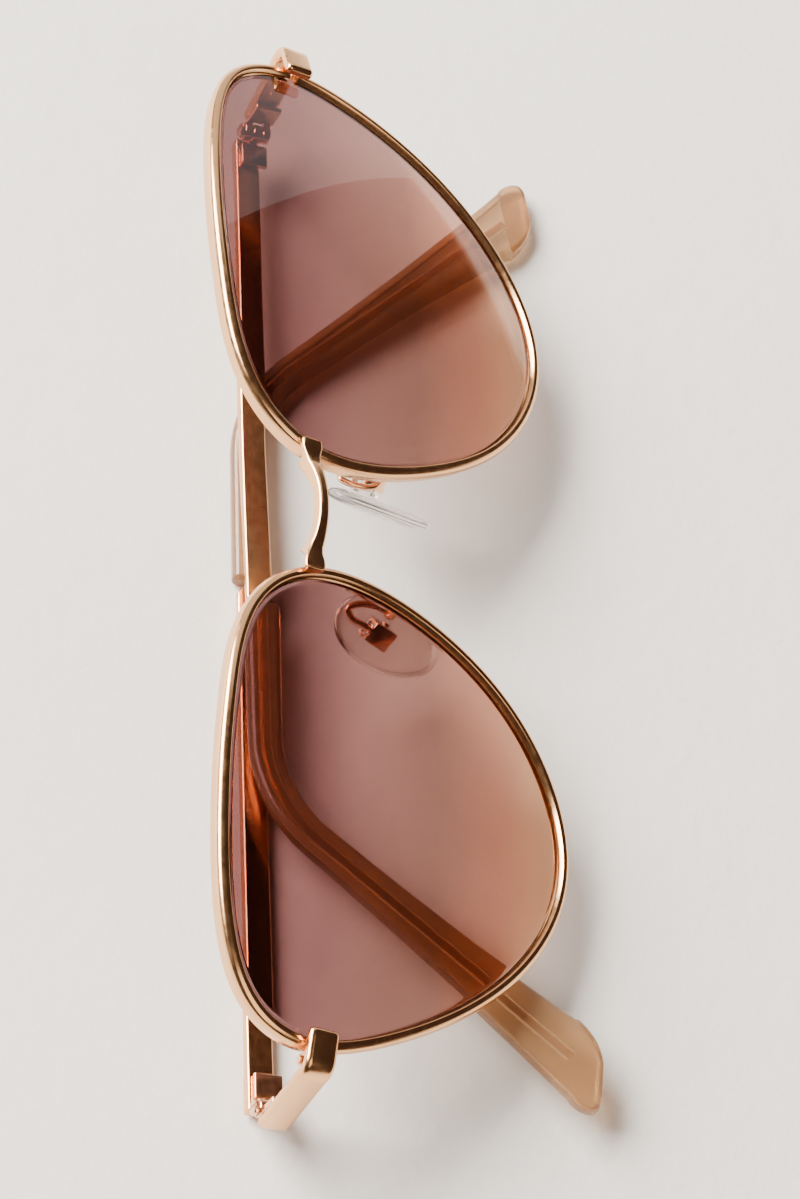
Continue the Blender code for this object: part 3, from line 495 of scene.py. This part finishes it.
def lens_normal(a, b):
    return Matrix.Rotation(WRAP, 3, "Y") @ sphere_normal(a, b)


def lens_point(a, b, forward=0.0):
    """The point a outwards and b up on the lens's sphere, moved forward square to it."""
    local = sphere_normal(a, b) * (BASE_RADIUS + forward) - Vector((0, 0, BASE_RADIUS))
    return Vector((LENS_CENTRE, 0, 0)) + Matrix.Rotation(WRAP, 3, "Y") @ local


def nearest_to(angle):
    """The eyewire's middle-line point in that direction from the lens's centre."""
    return min(OUTLINE, key=lambda p: abs(turn_between(angle, math.atan2(p[1], p[0]))))


# ---------------------------------------------------------------- front

def make_rim(side, word, mat):
    """The eyewire's section swept along its curve, open at the split."""
    section = [(x * MM, y * MM) for x, y in rounded_polygon(RIM_SECTION, 3)]
    rings = []
    for i in range(1, RIM_STEPS - 1):
        square = outward(i)
        ring = [lens_point(*(OUTLINE[i] + square * out), forward) for out, forward in section]
        rings.append(turned_over(ring, side))
    piece(f"rim_{word}_band", skin(rings), mat, "front", [f"rim_{word}"], FRONT, 50)


def make_lens(side, word, mat):
    """A curved plate whose bevelled edge sits in the eyewire's groove."""
    half = LENS_THICK / 2
    square = np.array([outward(i) for i in range(RIM_STEPS)])

    def ring(distance, forward, share=1.0):
        points = ((OUTLINE - square * distance) * share)[::LENS_EVERY]
        return turned_over([lens_point(a, b, forward - LENS_SET_BACK) for a, b in points], side)

    rings = [ring(LENS_FACE_IN, half, s) for s in LENS_RINGS]
    rings += [ring(d, f) for d, f in LENS_BEVEL[::-1]] + [ring(d, -f) for d, f in LENS_BEVEL]
    rings += [ring(LENS_FACE_IN, -half, s) for s in LENS_RINGS[::-1]]
    bm = skin(rings)
    obj = piece(f"lens_{word}_plate", bm, mat, "front", [f"lens_{word}"], FRONT, 50)
    shade_by_height(obj, FRONT)


def shade_by_height(obj, matrix):
    """Stores each point's height up the front, from 0 at the lens's foot to 1 at the brow."""
    back = matrix.inverted()
    heights = [(back @ v.co).y for v in obj.data.vertices]
    layer = obj.data.attributes.new("brow", "FLOAT", "POINT")
    shares = [clamped((h - LENS_FOOT) / (LENS_BROW - LENS_FOOT)) for h in heights]
    layer.data.foreach_set("value", shares)


def make_endpiece(side, word, mat):
    """A strap lapped on the eyewire's front, bent round its corner and run back to the hinge."""
    split = OUTLINE[0]
    front = lens_point(split[0], split[1], RIM_HALF_DEEP)
    normal = lens_normal(*split)
    run = (OUT - normal * OUT.dot(normal)).normalized()
    start = front + normal * (LAP_GAP + STRAP_THICK / 2) - run * TAB_IN
    strap_x = PIN.x + STRAP_IN + STRAP_THICK / 2
    reach = (strap_x - STRAP_BEND * (1 - normal.x) - start.x) / run.x
    corner = start + run * reach - normal * STRAP_BEND
    level = Vector((0, 1, 0))
    size = (STRAP_WIDE, STRAP_THICK, STRAP_CORNER)
    stations = [(start, level, normal, *size)]
    stations += [(start + run * reach * s, level, normal, *size) for s in (0.3, 0.6, 0.9)]
    turned_by = math.pi / 2 - math.asin(normal.x)
    for share in spread(0.0, 1.0, STRAP_BEND_STEPS + 1):
        turn = share * turned_by
        facing = (normal * math.cos(turn) + run * math.sin(turn)).normalized()
        stations.append((corner + facing * STRAP_BEND, level.lerp(UPRIGHT, share), facing, *size))
    end = PIN - BACK * STRAP_END + OUT * (STRAP_IN + STRAP_THICK / 2)
    last = stations[-1][0]
    stations += [(last.lerp(end, s), UPRIGHT, OUT, *size) for s in (0.1, 0.35, 0.7, 0.95, 1.0)]
    bm = bar(stations, side, STRAP_SOFT)
    piece(f"endpiece_{word}_strap", bm, mat, "front", [f"endpiece_{word}"], FRONT, 60)


def make_bridge(mat):
    """A slim bar between the rims, bowed forwards, whose ends flatten into tabs on the rims."""
    a, b = nearest_to(BRIDGE_AT)
    normal = lens_normal(a, b)
    tab = lens_point(a, b, RIM_HALF_DEEP + SOLDER_GAP + BRIDGE_TAB_THICK / 2)
    up, forward = Vector((0, 1, 0)), Vector((0, 0, 1))
    half = []
    for x, cut in BRIDGE_TAB:
        centre, tall = tab + OUT * x * MM + up * BRIDGE_TAB_RISE, BRIDGE_TAB_TALL - cut * MM
        half.append((centre, up, normal, tall, BRIDGE_TAB_THICK, BRIDGE_TAB_CORNER))
    # The bar is deeper than its tabs, and its front face runs on from theirs.
    neck = tab - OUT * BRIDGE_NECK + forward * BRIDGE_TAB_THICK / 2
    for share in spread(1.0, 0.0, 24):
        swell, deep = 1 - share**2, BRIDGE_THICK + BRIDGE_DEEPER * share**2
        forwards = neck.z + BRIDGE_BOW * swell - deep / 2
        flare = BRIDGE_FLARE * share**3
        centre = Vector((neck.x * share, neck.y - BRIDGE_SAG * swell + flare / 2, forwards))
        half.append((centre, up, forward, BRIDGE_TALL + flare, deep, BRIDGE_CORNER))
    other = [
        (turned_over([c], -1)[0], wide_dir, turned_over([t], -1)[0], *size)
        for c, wide_dir, t, *size in reversed(half[:-1])
    ]
    bm = bar(half + other, 1, BRIDGE_SOFT)
    piece("bridge_bar", bm, mat, "front", ["bridge"], FRONT, 60)


def split_axes():
    """The rim lock's axes: X outwards from the eyewire's split, Y along it, Z forwards."""
    at = (OUTLINE[0] + OUTLINE[-1]) / 2
    across = OUTLINE[0] - OUTLINE[-1]
    square = np.array([across[1], -across[0]]) / np.linalg.norm(across)
    square *= math.copysign(1, square @ at)
    point, forward = lens_point(*at), lens_normal(*at)
    outwards = lens_point(*(at + square * MM)) - point
    outwards = (outwards - forward * outwards.dot(forward)).normalized()
    along = forward.cross(outwards).normalized()
    along = along if along.y > 0 else -along
    axes = Matrix((outwards, along, forward)).transposed().to_4x4()
    reach = RIM_HALF_WIDE + SOLDER_GAP + LOCK_WIDE / 2
    axes.translation = point + outwards * reach - forward * LOCK_SET_BACK
    return axes


def over(matrix, side):
    """The matrix for a left-hand piece, or its turned-over twin for the right."""
    return FRONT @ Matrix.Diagonal((side, 1, 1, 1)) @ matrix


def drilled_block(wide, deep, hole, low, high):
    """A rounded block standing along Y with a round hole down it."""
    steps, soft, small = 32, LOCK_SOFT, LOCK_END_SIZE
    ring = rounded_rectangle(wide, deep, LOCK_CORNER, 7)
    outer = [
        min(ring, key=lambda p: abs(turn_between(u, math.atan2(p[1], p[0]))))
        for u in full_turn(steps)
    ]
    levels = ((small, low), (1, low + soft), (1, high - soft), (small, high))
    rows = [[Vector((x * scale, height, z * scale)) for x, z in outer] for scale, height in levels]
    rows += [circle(hole, height, steps) for height in (high, low)]
    return skin(rows, closed=True)


def screw_with_slot(radius, low, high, head, head_tall):
    """A turned screw along Y with a domed head on top, cut across by a driver slot."""
    dome = ((1, 0.0), (1, 0.45), (0.92, 0.8), (0.7, 0.97), (0.4, 1))
    profile = [(radius * 0.75, low), (radius, low + radius * 0.3), (radius, high)]
    profile += [(head * s, high + head_tall * t) for s, t in dome]
    depth, half = head_tall * 0.5, head * 0.16
    cutter = bmesh.new()
    bmesh.ops.create_cube(cutter, size=1.0)
    bmesh.ops.scale(cutter, vec=(half * 2, depth * 2, head * 3), verts=cutter.verts)
    bmesh.ops.translate(cutter, vec=(0, high + head_tall, 0), verts=cutter.verts)
    return cut_by(turned(profile), cutter)


def as_object(bm):
    """A short-lived object for a Boolean to work on."""
    mesh = bpy.data.meshes.new("tool")
    bm.to_mesh(mesh)
    bm.free()
    obj = bpy.data.objects.new("tool", mesh)
    bpy.context.scene.collection.objects.link(obj)
    return obj


def combined(bm, others, operation):
    """The first solid with each of the others cut away or joined on."""
    body = as_object(bm)
    tools = [as_object(other) for other in others]
    for tool in tools:
        modifier = body.modifiers.new("combine", "BOOLEAN")
        modifier.operation, modifier.solver, modifier.object = operation, "EXACT", tool
    bpy.context.view_layer.update()
    done = bmesh.new()
    done.from_mesh(body.evaluated_get(bpy.context.evaluated_depsgraph_get()).to_mesh())
    for obj in [body] + tools:
        mesh = obj.data
        bpy.data.objects.remove(obj)
        bpy.data.meshes.remove(mesh)
    return done


def cut_by(bm, cutter):
    return combined(bm, [cutter], "DIFFERENCE")


def make_rim_lock(side, word, mat, screw_mat):
    """Two blocks outside the eyewire's split and the slotted screw that draws them together."""
    at = over(split_axes(), side)
    for level, low, high in LOCK_SPANS:
        block = drilled_block(LOCK_WIDE, LOCK_DEEP, LOCK_BORE, low, high)
        name = f"rim_lock_{level}_{word}"
        piece(f"{name}_block", block, mat, "front", [name], at, 35)
    screw = screw_with_slot(
        LOCK_SCREW_R, LOCK_SCREW_FOOT, LOCK_SCREW_TOP, LOCK_HEAD_R, LOCK_HEAD_TALL
    )
    name = f"rim_lock_screw_{word}"
    piece(f"{name}_slotted", screw, screw_mat, "front", [name], at, 30)


# ---------------------------------------------------------------- hinges

def rounded_box(low, high, radius):
    """A box between two corners with its edges rounded."""
    bm = bmesh.new()
    bmesh.ops.create_cube(bm, size=1.0)
    size = [abs(b - a) for a, b in zip(low, high)]
    bmesh.ops.scale(bm, vec=size, verts=bm.verts)
    bmesh.ops.translate(bm, vec=[(a + b) / 2 for a, b in zip(low, high)], verts=bm.verts)
    bmesh.ops.bevel(bm, geom=bm.edges[:], offset=radius, segments=3, profile=0.5, affect="EDGES")
    return bm


def knuckle(low, high):
    """A ring about the pin between two heights, in hinge axes, its rims a little rounded."""
    outer, soft = KNUCKLE_R, KNUCKLE_SOFT
    profile = [
        (KNUCKLE_BORE, low), (outer - soft, low), (outer, low + soft), (outer, high - soft),
        (outer - soft, high), (KNUCKLE_BORE, high),
    ]
    bm = skin([circle(radius, height, 40) for radius, height in profile], closed=True)
    bmesh.ops.recalc_face_normals(bm, faces=bm.faces)
    return bm


def hinge_leaf(spans, sign):
    """Knuckles about the pin and the leaf they grow from: X outwards, Y the pin, Z forwards."""
    leaf_out = STRAP_IN - SOLDER_GAP
    half, inset = BARREL_H / 2, WEB_INSET
    start, stop = sorted((0.0, sign * WEB_LONG))
    parts = []
    for low, high in spans:
        corner, opposite = (WEB_IN, low + inset, start), (leaf_out - inset, high - inset, stop)
        parts += [knuckle(low, high), rounded_box(corner, opposite, WEB_SOFT)]
    start, stop = sorted((sign * LEAF_START, sign * LEAF_END))
    corner, opposite = (leaf_out - LEAF_THICK, -half, start), (leaf_out, half, stop)
    return combined(rounded_box(corner, opposite, LEAF_SOFT), parts, "UNION")


def hinge_axes():
    """The left hinge's axes in the front: X outwards, Y up the pin, Z forwards."""
    axes = Matrix((OUT, UPRIGHT, -BACK)).transposed().to_4x4()
    axes.translation = PIN
    return axes


def make_hinge(side, word, mat, screw_mat):
    """The front's leaf, the pin screw, and the temple's leaf in its folded place."""
    at, half = over(hinge_axes(), side), BARREL_H / 2
    leaf = hinge_leaf([(KNUCKLE_OUTER, half), (-half, -KNUCKLE_OUTER)], 1)
    name = f"front_hinge_{word}"
    piece(f"{name}_leaf", leaf, mat, "front", [name], at, 30)
    name = f"hinge_screw_{word}"
    foot, top = -half - SCREW_PAST, half + SOLDER_GAP
    screw = screw_with_slot(PIN_R, foot, top, HINGE_HEAD_R, HINGE_HEAD_TALL)
    piece(f"{name}_slotted", screw, screw_mat, "front", [name], at, 30)
    # Outwards becomes down (-Z) and backwards becomes along the bar (+X) once folded.
    folded = Matrix(((0, 0, -1), (0, 1, 0), (-1, 0, 0))).to_4x4()
    at = temple_matrix(word) @ Matrix.Diagonal((-side, 1, 1, 1)) @ folded
    leaf = hinge_leaf([(-KNUCKLE_INNER, KNUCKLE_INNER)], -1)
    name = f"temple_hinge_{word}"
    piece(f"{name}_leaf", leaf, mat, f"temple_{word}", [name], at, 30)


# ---------------------------------------------------------------- temples

def tip_centre(distance):
    """(along, down, heading) of the temple's centre line at a distance from the pin."""
    arc = BEND_RADIUS * BEND_ANGLE
    if distance <= BEND_START:
        return distance, 0.0, 0.0
    turned_by = min((distance - BEND_START) / BEND_RADIUS, BEND_ANGLE)
    rest = max(distance - BEND_START - arc, 0.0)
    along = BEND_START + BEND_RADIUS * math.sin(turned_by) + rest * math.cos(BEND_ANGLE)
    down = BEND_RADIUS * (1 - math.cos(turned_by)) + rest * math.sin(BEND_ANGLE)
    return along, down, turned_by


def tip_height(distance):
    """The tip's height across its centre line, growing smoothly towards the end."""
    collar, bend, end = TIP_TALL
    if distance < BEND_START:
        return collar + (bend - collar) * (distance - TIP_START) / (BEND_START - TIP_START)
    u = min((distance - BEND_START) / (FULL_HEIGHT_AT - BEND_START), 1.0)
    return bend + (end - bend) * u**TIP_SWELL


def temple_section(distance, tall, thick, outer, corner, lean=0.0):
    """A rounded rectangle across the temple, folded axes: X along it, Y up, Z inwards."""
    along, down, heading = tip_centre(distance)
    run = Vector((math.cos(heading), -math.sin(heading), 0))
    up = Vector((math.sin(heading), math.cos(heading), 0))
    centre = Vector((along, BAR_RISE - down, -(outer - thick / 2)))
    ring = []
    for high, deep in rounded_rectangle(tall, thick, corner, 7):
        ring.append(centre + up * high + Vector((0, 0, 1)) * deep + run * lean * high)
    share = clamped((distance - TWIST_START) / (TWIST_END - TWIST_START))
    twist = Matrix.Rotation(-TIP_LEAN * share, 3, "X")
    return [twist @ point for point in ring]


def make_temple(side, word, mat):
    """The flat bar with a thicker end at the hinge, drawn down to the wire inside the tip."""
    corner, outer = BAR_CORNER, STRAP_IN + STRAP_THICK
    # The thick end's lower corner comes down to the same plane as the tip's flat face.
    level = TIP_OUT - corner - (TEMPLE_TALL / 2 - BAR_RISE - corner) * math.sin(TIP_LEAN)
    block_out = level / math.cos(TIP_LEAN) + corner
    block = (TEMPLE_TALL, block_out - STRAP_IN, block_out, corner)
    flat = (TEMPLE_TALL, STRAP_THICK, outer, corner)
    core = (CORE_TALL, CORE_THICK, CORE_OUT, CORE_CORNER)

    def trimmed(shape, cut):
        tall, thick, out, soft = shape
        return tall - 2 * cut, thick - 2 * cut, out - cut, max(soft - cut, 0.03 * MM)

    def between(first, last, share):
        return tuple(a + (b - a) * share for a, b in zip(first, last))

    stations, soft = [], BLOCK_SOFT
    for u in quarter_turn(4)[::-1]:
        at = STRAP_END + soft * (1 - math.sin(u))
        stations.append((at, trimmed(block, soft * (1 - math.cos(u)))))
    stations += [(d, block) for d in spread(BLOCK_START, BLOCK_LONG, 4)]
    for share in spread(0.0, 1.0, 6)[1:]:
        stations.append((BLOCK_LONG + BLOCK_SLOPE * share, between(block, flat, eased(share))))
    first, middle, last = (TIP_START - before for before in NARROWING)
    stations += [(d, flat) for d in spread(FLAT_START, TWIST_START, 14)]
    stations += [(d, flat) for d in spread(TWIST_START, first, 16)[1:]]
    stations += [(middle, between(flat, core, 0.4)), (last, core)]
    stations += [(d, core) for d in spread(TIP_START + 1 * MM, BEND_START, 6)]
    arc = BEND_RADIUS * BEND_ANGLE
    stations += [(d, core) for d in spread(BEND_START, BEND_START + arc, 17)[1:]]
    stations += [(d, core) for d in spread(BEND_START + arc, TEMPLE_END - CORE_SHORT, 6)[1:]]
    rings = [turned_over(temple_section(d, *shape), -side) for d, shape in stations]
    name, body = f"temple_{word}", f"temple_{word}"
    piece(f"{name}_bar", skin(rings), mat, body, [name], temple_matrix(word), 60)


def make_tip(side, word, mat):
    """The sleeve over the temple's end, with a blind channel for the wire and a slanted end."""
    tall, thick = CORE_TALL + 2 * CORE_GAP, CORE_THICK + 2 * CORE_GAP
    channel = (tall, thick, CORE_OUT + CORE_GAP, CORE_CORNER)
    arc = BEND_RADIUS * BEND_ANGLE
    outer = []
    for u in quarter_turn(5):
        cut = TIP_COLLAR_CUT * (1 - math.sin(u))
        d = TIP_START + TIP_COLLAR_LONG * (1 - math.cos(u))
        tall, thick = tip_height(d) - 2 * cut, TIP_THICK - 2 * cut
        outer.append(temple_section(d, tall, thick, TIP_OUT - cut, TIP_CORNER - 0.5 * cut))
    full = spread(TIP_START + TIP_COLLAR_END, BEND_START, 8)
    full += spread(BEND_START, BEND_START + arc, 21)[1:]
    straight = spread(BEND_START + arc, TEMPLE_END - TIP_END_LONG, 18)[1:]
    full += straight
    for d in full:
        past = (d - straight[0]) / (straight[-1] - straight[0])
        lean = TIP_SLANT * eased(clamped((past - SLANT_START) / (1 - SLANT_START)))
        outer.append(temple_section(d, tip_height(d), TIP_THICK, TIP_OUT, TIP_CORNER, lean))
    end_tall = tip_height(TEMPLE_END)
    for u in quarter_turn(12)[1:]:
        d = TEMPLE_END - TIP_END_LONG * (1 - math.sin(u))
        # The outline is a wide soft corner, and the thickness rounds over only near the end.
        cut = TIP_END_CUT * (1 - math.cos(u)) ** TIP_CUT_POWER
        thin = TIP_END_THIN * (1 - math.cos(u)) ** TIP_THIN_POWER
        thick = TIP_THICK - thin
        shape = (end_tall - 2 * cut, thick, TIP_OUT - thin / 2, min(TIP_CORNER, thick * 0.46))
        outer.append(temple_section(d, *shape, TIP_SLANT))
    inner_end = TEMPLE_END - CORE_SHORT + CHANNEL_SPARE
    inner = [temple_section(d, *channel) for d in full if d < inner_end - 1 * MM]
    inner = [temple_section(TIP_START, *channel)] + inner + [temple_section(inner_end, *channel)]
    rings = [turned_over(ring, -side) for ring in inner[::-1] + outer]
    name, body = f"temple_tip_{word}", f"temple_{word}"
    at = temple_matrix(word)
    piece(f"{name}_sleeve", skin(rings), mat, body, [name], at, 60)


# ---------------------------------------------------------------- nose pads

def make_cushion(side, word, mat, axes):
    """A soft oval cushion, flatter on the box side."""
    rings = []
    for height, size in PAD_LEVELS:
        ring = []
        for u in full_turn(96):
            x = PAD_WIDE / 2 * size * math.cos(u) * (1 + PAD_EGG * math.sin(u))
            y = PAD_LONG / 2 * size**PAD_END_POWER * math.sin(u)
            ring.append(Vector((x, y, height * PAD_THICK)))
        rings.append(ring)
    name = f"nose_pad_{word}"
    piece(f"{name}_cushion", skin(rings), mat, name, [name], over(axes, side), 80)


def profile_bar(half, long, holes, across):
    """A channel or a T drawn from half its section, bevelled, with its cross hole drilled."""
    profile = half + [(-x, z) for x, z in reversed(half)]
    bm = skin([[Vector((x, y, z)) for x, z in profile] for y in (-long, long)])
    bmesh.ops.recalc_face_normals(bm, faces=bm.faces)
    sharp = [e for e in bm.edges if e.calc_face_angle(0.0) > 0.5]
    bmesh.ops.bevel(
        bm, geom=sharp, offset=FITTING_SOFT, segments=2, profile=0.5, affect="EDGES"
    )
    hole = turned([(holes, -FITTING_HOLE_HALF), (holes, FITTING_HOLE_HALF)], 32)
    hole.transform(across)
    bmesh.ops.recalc_face_normals(hole, faces=hole.faces)
    return cut_by(bm, hole)


def make_nose_pad(side, word, metal, screw_mat, plastic):
    """The cushion, its box, the insert and cross screw in the box, and the wire to the rim."""
    axes = pad_matrix()
    box_axes = axes @ Matrix.Translation((0, BOX_UP, -BOX_SIZE.z / 2 - BOX_DROP))
    across = Matrix.Rotation(-math.pi / 2, 4, "Z")
    body = f"nose_pad_{word}"
    make_cushion(side, word, plastic, axes)

    x, y, z = BOX_SIZE / 2
    wall, at = BOX_WALL, over(box_axes, side)
    half = [(-x, -z), (-x, z), (wall - x, z), (wall - x, wall - z)]
    box = profile_bar(half, y, PAD_SCREW_BORE, across)
    name = f"pad_box_{word}"
    piece(f"{name}_channel", box, metal, "front", [name], at, 30)

    top = z + BOX_DROP - SOLDER_GAP
    tongue, foot = x - wall - SOLDER_GAP, wall + BOX_FLOOR_GAP - z
    wide, under = INSERT_HALF_WIDE, top - INSERT_FLANGE
    half = [(-wide, top), (-wide, under), (-tongue, under), (-tongue, foot)]
    insert = profile_bar(half, INSERT_HALF_LONG, PAD_SCREW_BORE, across)
    name = f"pad_insert_{word}"
    piece(f"{name}_core", insert, plastic, body, [name], at, 30)

    reach = x + SOLDER_GAP
    screw = screw_with_slot(PAD_SCREW_R, -reach, reach, PAD_HEAD_R, PAD_HEAD_TALL)
    name = f"pad_screw_{word}"
    at = over(box_axes @ across, side)
    piece(f"{name}_slotted", screw, screw_mat, body, [name], at, 30)

    a, b = nearest_to(ARM_AT)
    root = lens_point(a, b, -RIM_HALF_DEEP - SOLDER_GAP)
    back = -lens_normal(a, b)
    end = Vector((0, y + SOLDER_GAP, -BOX_SIZE.z / 4))
    route = [root, root + back * ARM_RUN] + [Vector(p) * MM for p in ARM_CURL]
    route += [box_axes @ (end + Vector((0, ARM_RUN, 0))), box_axes @ end]
    arm = wire(smooth_run(route, 14), ARM_R, side)
    name = f"pad_arm_{word}"
    piece(f"{name}_wire", arm, metal, "front", [name], FRONT, 80)


# ---------------------------------------------------------------- materials

class Nodes:
    """A material's nodes, joined by short calls."""

    def __init__(self, name):
        self.mat = bpy.data.materials.new(name)
        self.mat.use_nodes = True
        self.tree = self.mat.node_tree
        self.shader = self.tree.nodes["Principled BSDF"]
        self.coords = self.tree.nodes.new("ShaderNodeTexCoord")

    def set(self, **values):
        """Puts uniform values on the shader's own sockets."""
        for name, value in values.items():
            self.shader.inputs[name.replace("_", " ")].default_value = value

    def link(self, out, socket):
        self.tree.links.new(out, socket)

    def shade(self, **outputs):
        """Joins node outputs to the shader's inputs of those names."""
        for name, out in outputs.items():
            self.link(out, self.shader.inputs[name.replace("_", " ")])
        return self.mat

    def noise(self, scale, detail, rough=0.5):
        """A noise over the object, scaled to so many lumps a metre."""
        node = self.tree.nodes.new("ShaderNodeTexNoise")
        node.inputs["Scale"].default_value = scale
        node.inputs["Detail"].default_value = detail
        node.inputs["Roughness"].default_value = rough
        self.link(self.coords.outputs["Object"], node.inputs["Vector"])
        return node.outputs["Fac"]

    def ramp(self, value, *stops):
        """A colour for the value, through stops of (place, colour)."""
        node = self.tree.nodes.new("ShaderNodeValToRGB")
        ramp = node.color_ramp
        while len(ramp.elements) < len(stops):
            ramp.elements.new(0.5)
        for element, (at, color) in zip(ramp.elements, stops):
            element.position = at
            element.color = (*color, 1)
        self.link(value, node.inputs["Fac"])
        return node.outputs["Color"]

    def clouds(self, noise, low, high):
        """One colour drifting into another with the noise."""
        return self.ramp(noise, (NOISE_LOW, low), (NOISE_HIGH, high))

    def grade(self, noise, low, high):
        """A number between low and high that goes with the noise."""
        node = self.tree.nodes.new("ShaderNodeMapRange")
        node.inputs["From Min"].default_value = NOISE_LOW
        node.inputs["From Max"].default_value = NOISE_HIGH
        node.inputs["To Min"].default_value = low
        node.inputs["To Max"].default_value = high
        self.link(noise, node.inputs["Value"])
        return node.outputs["Result"]

    def bump(self, value, depth, strength, after=None):
        """Small lumps of that depth in metres, on top of the bump after."""
        node = self.tree.nodes.new("ShaderNodeBump")
        node.inputs["Strength"].default_value = strength
        node.inputs["Distance"].default_value = depth
        self.link(value, node.inputs["Height"])
        if after:
            self.link(after, node.inputs["Normal"])
        return node.outputs["Normal"]


def polished_gold(name, light, dark, rough_low, rough_high, bump):
    """Plated metal: faint cloudiness in the colour and polish, hair-fine wear in the surface."""
    n = Nodes(name)
    n.set(Metallic=1.0, IOR=1.5)
    return n.shade(
        Base_Color=n.clouds(n.noise(180, 4), dark, light),
        Roughness=n.grade(n.noise(900, 5), rough_low, rough_high),
        Normal=n.bump(n.noise(2600, 3), bump, 0.25),
    )


def tinted_lens():
    """Rose-brown tint, deepest at the brow and warming to peach at the foot."""
    n = Nodes("lens_tint")
    n.set(Roughness=0.02, IOR=1.5, Transmission_Weight=1.0, Specular_IOR_Level=0.5)
    height = n.tree.nodes.new("ShaderNodeAttribute")
    height.attribute_name = "brow"
    tint = n.ramp(
        height.outputs["Fac"],
        (0.0, (0.88, 0.56, 0.35)), (0.12, (0.83, 0.46, 0.29)), (0.22, (0.65, 0.31, 0.22)),
        (0.42, (0.322, 0.162, 0.136)), (0.72, (0.185, 0.082, 0.081)), (1.0, (0.155, 0.07, 0.071)),
    )
    return n.shade(Base_Color=tint, Normal=n.bump(n.noise(60, 2), 0.02 * MM, 0.15))


def honey_acetate():
    """Translucent plastic with slow clouds of a deeper honey."""
    n = Nodes("tip_honey")
    n.set(IOR=1.49, Transmission_Weight=0.8)
    return n.shade(
        Base_Color=n.clouds(n.noise(70, 3, 0.55), (0.58, 0.32, 0.155), (0.67, 0.405, 0.205)),
        Roughness=n.grade(n.noise(300, 2), 0.15, 0.22),
    )


def clear_silicone():
    """Clear, faintly milky and softly uneven."""
    n = Nodes("pad_clear")
    n.set(IOR=1.42, Transmission_Weight=0.94)
    return n.shade(
        Base_Color=n.clouds(n.noise(400, 2), (0.93, 0.90, 0.87), (0.97, 0.95, 0.93)),
        Roughness=n.grade(n.noise(1500, 3), 0.08, 0.16),
        Normal=n.bump(n.noise(700, 2), 0.02 * MM, 0.3),
    )


def pale_table():
    """A matt pale plaster with fine pits on shallow lumps."""
    n = Nodes("table_top")
    n.set(Specular_IOR_Level=0.2)
    pits = n.bump(n.noise(1400, 4), 0.04 * MM, 0.4)
    return n.shade(
        Base_Color=n.clouds(n.noise(14, 4), (0.755, 0.72, 0.675), (0.79, 0.755, 0.71)),
        Roughness=n.grade(n.noise(600, 4), 0.55, 0.75),
        Normal=n.bump(n.noise(160, 4, 0.6), 0.6 * MM, 0.3, pits),
    )


# ---------------------------------------------------------------- studio

def make_table():
    bm = bmesh.new()
    bmesh.ops.create_grid(bm, x_segments=8, y_segments=8, size=TABLE_HALF)
    mesh = bpy.data.meshes.new("table_top")
    bm.to_mesh(mesh)
    bm.free()
    mesh.materials.append(pale_table())
    table = bpy.data.objects.new("table_top", mesh)
    bpy.context.scene.collection.objects.link(table)


def area_light(name, at, target, size, power, color):
    data = bpy.data.lights.new(name, "AREA")
    data.shape = "RECTANGLE"
    data.size, data.size_y = size
    data.energy, data.color = power, color
    lamp = bpy.data.objects.new(name, data)
    lamp.location = at
    lamp.rotation_euler = (Vector(target) - Vector(at)).to_track_quat("-Z", "Y").to_euler()
    bpy.context.scene.collection.objects.link(lamp)
    lamp.visible_camera = False


def make_world():
    world = bpy.data.worlds.new("room")
    world.use_nodes = True
    background = world.node_tree.nodes["Background"]
    background.inputs["Color"].default_value = ROOM_COLOR
    background.inputs["Strength"].default_value = ROOM_STRENGTH
    bpy.context.scene.world = world


def make_camera():
    data = bpy.data.cameras.new("camera")
    data.sensor_fit, data.sensor_width = "AUTO", CAMERA_SENSOR
    data.lens = CAMERA_LENS
    data.clip_start, data.clip_end = 0.01, 20
    camera = bpy.data.objects.new("camera", data)
    matrix = Matrix((CAMERA_RIGHT, -CAMERA_DOWN, -CAMERA_AHEAD)).transposed().to_4x4()
    matrix.translation = CAMERA_AT
    camera.matrix_world = matrix
    bpy.context.scene.collection.objects.link(camera)
    bpy.context.scene.camera = camera


def main():
    gold, fine, steel = (polished_gold(*metal) for metal in METALS)
    tint, honey, clear = tinted_lens(), honey_acetate(), clear_silicone()
    for side, word in SIDES:
        make_rim(side, word, gold)
        make_lens(side, word, tint)
        make_endpiece(side, word, gold)
        make_rim_lock(side, word, fine, steel)
        make_hinge(side, word, fine, steel)
        make_temple(side, word, gold)
        make_tip(side, word, honey)
        make_nose_pad(side, word, fine, steel, clear)
    make_bridge(gold)
    make_table()
    for light in LIGHTS:
        area_light(*light)
    make_world()
    make_camera()


main()
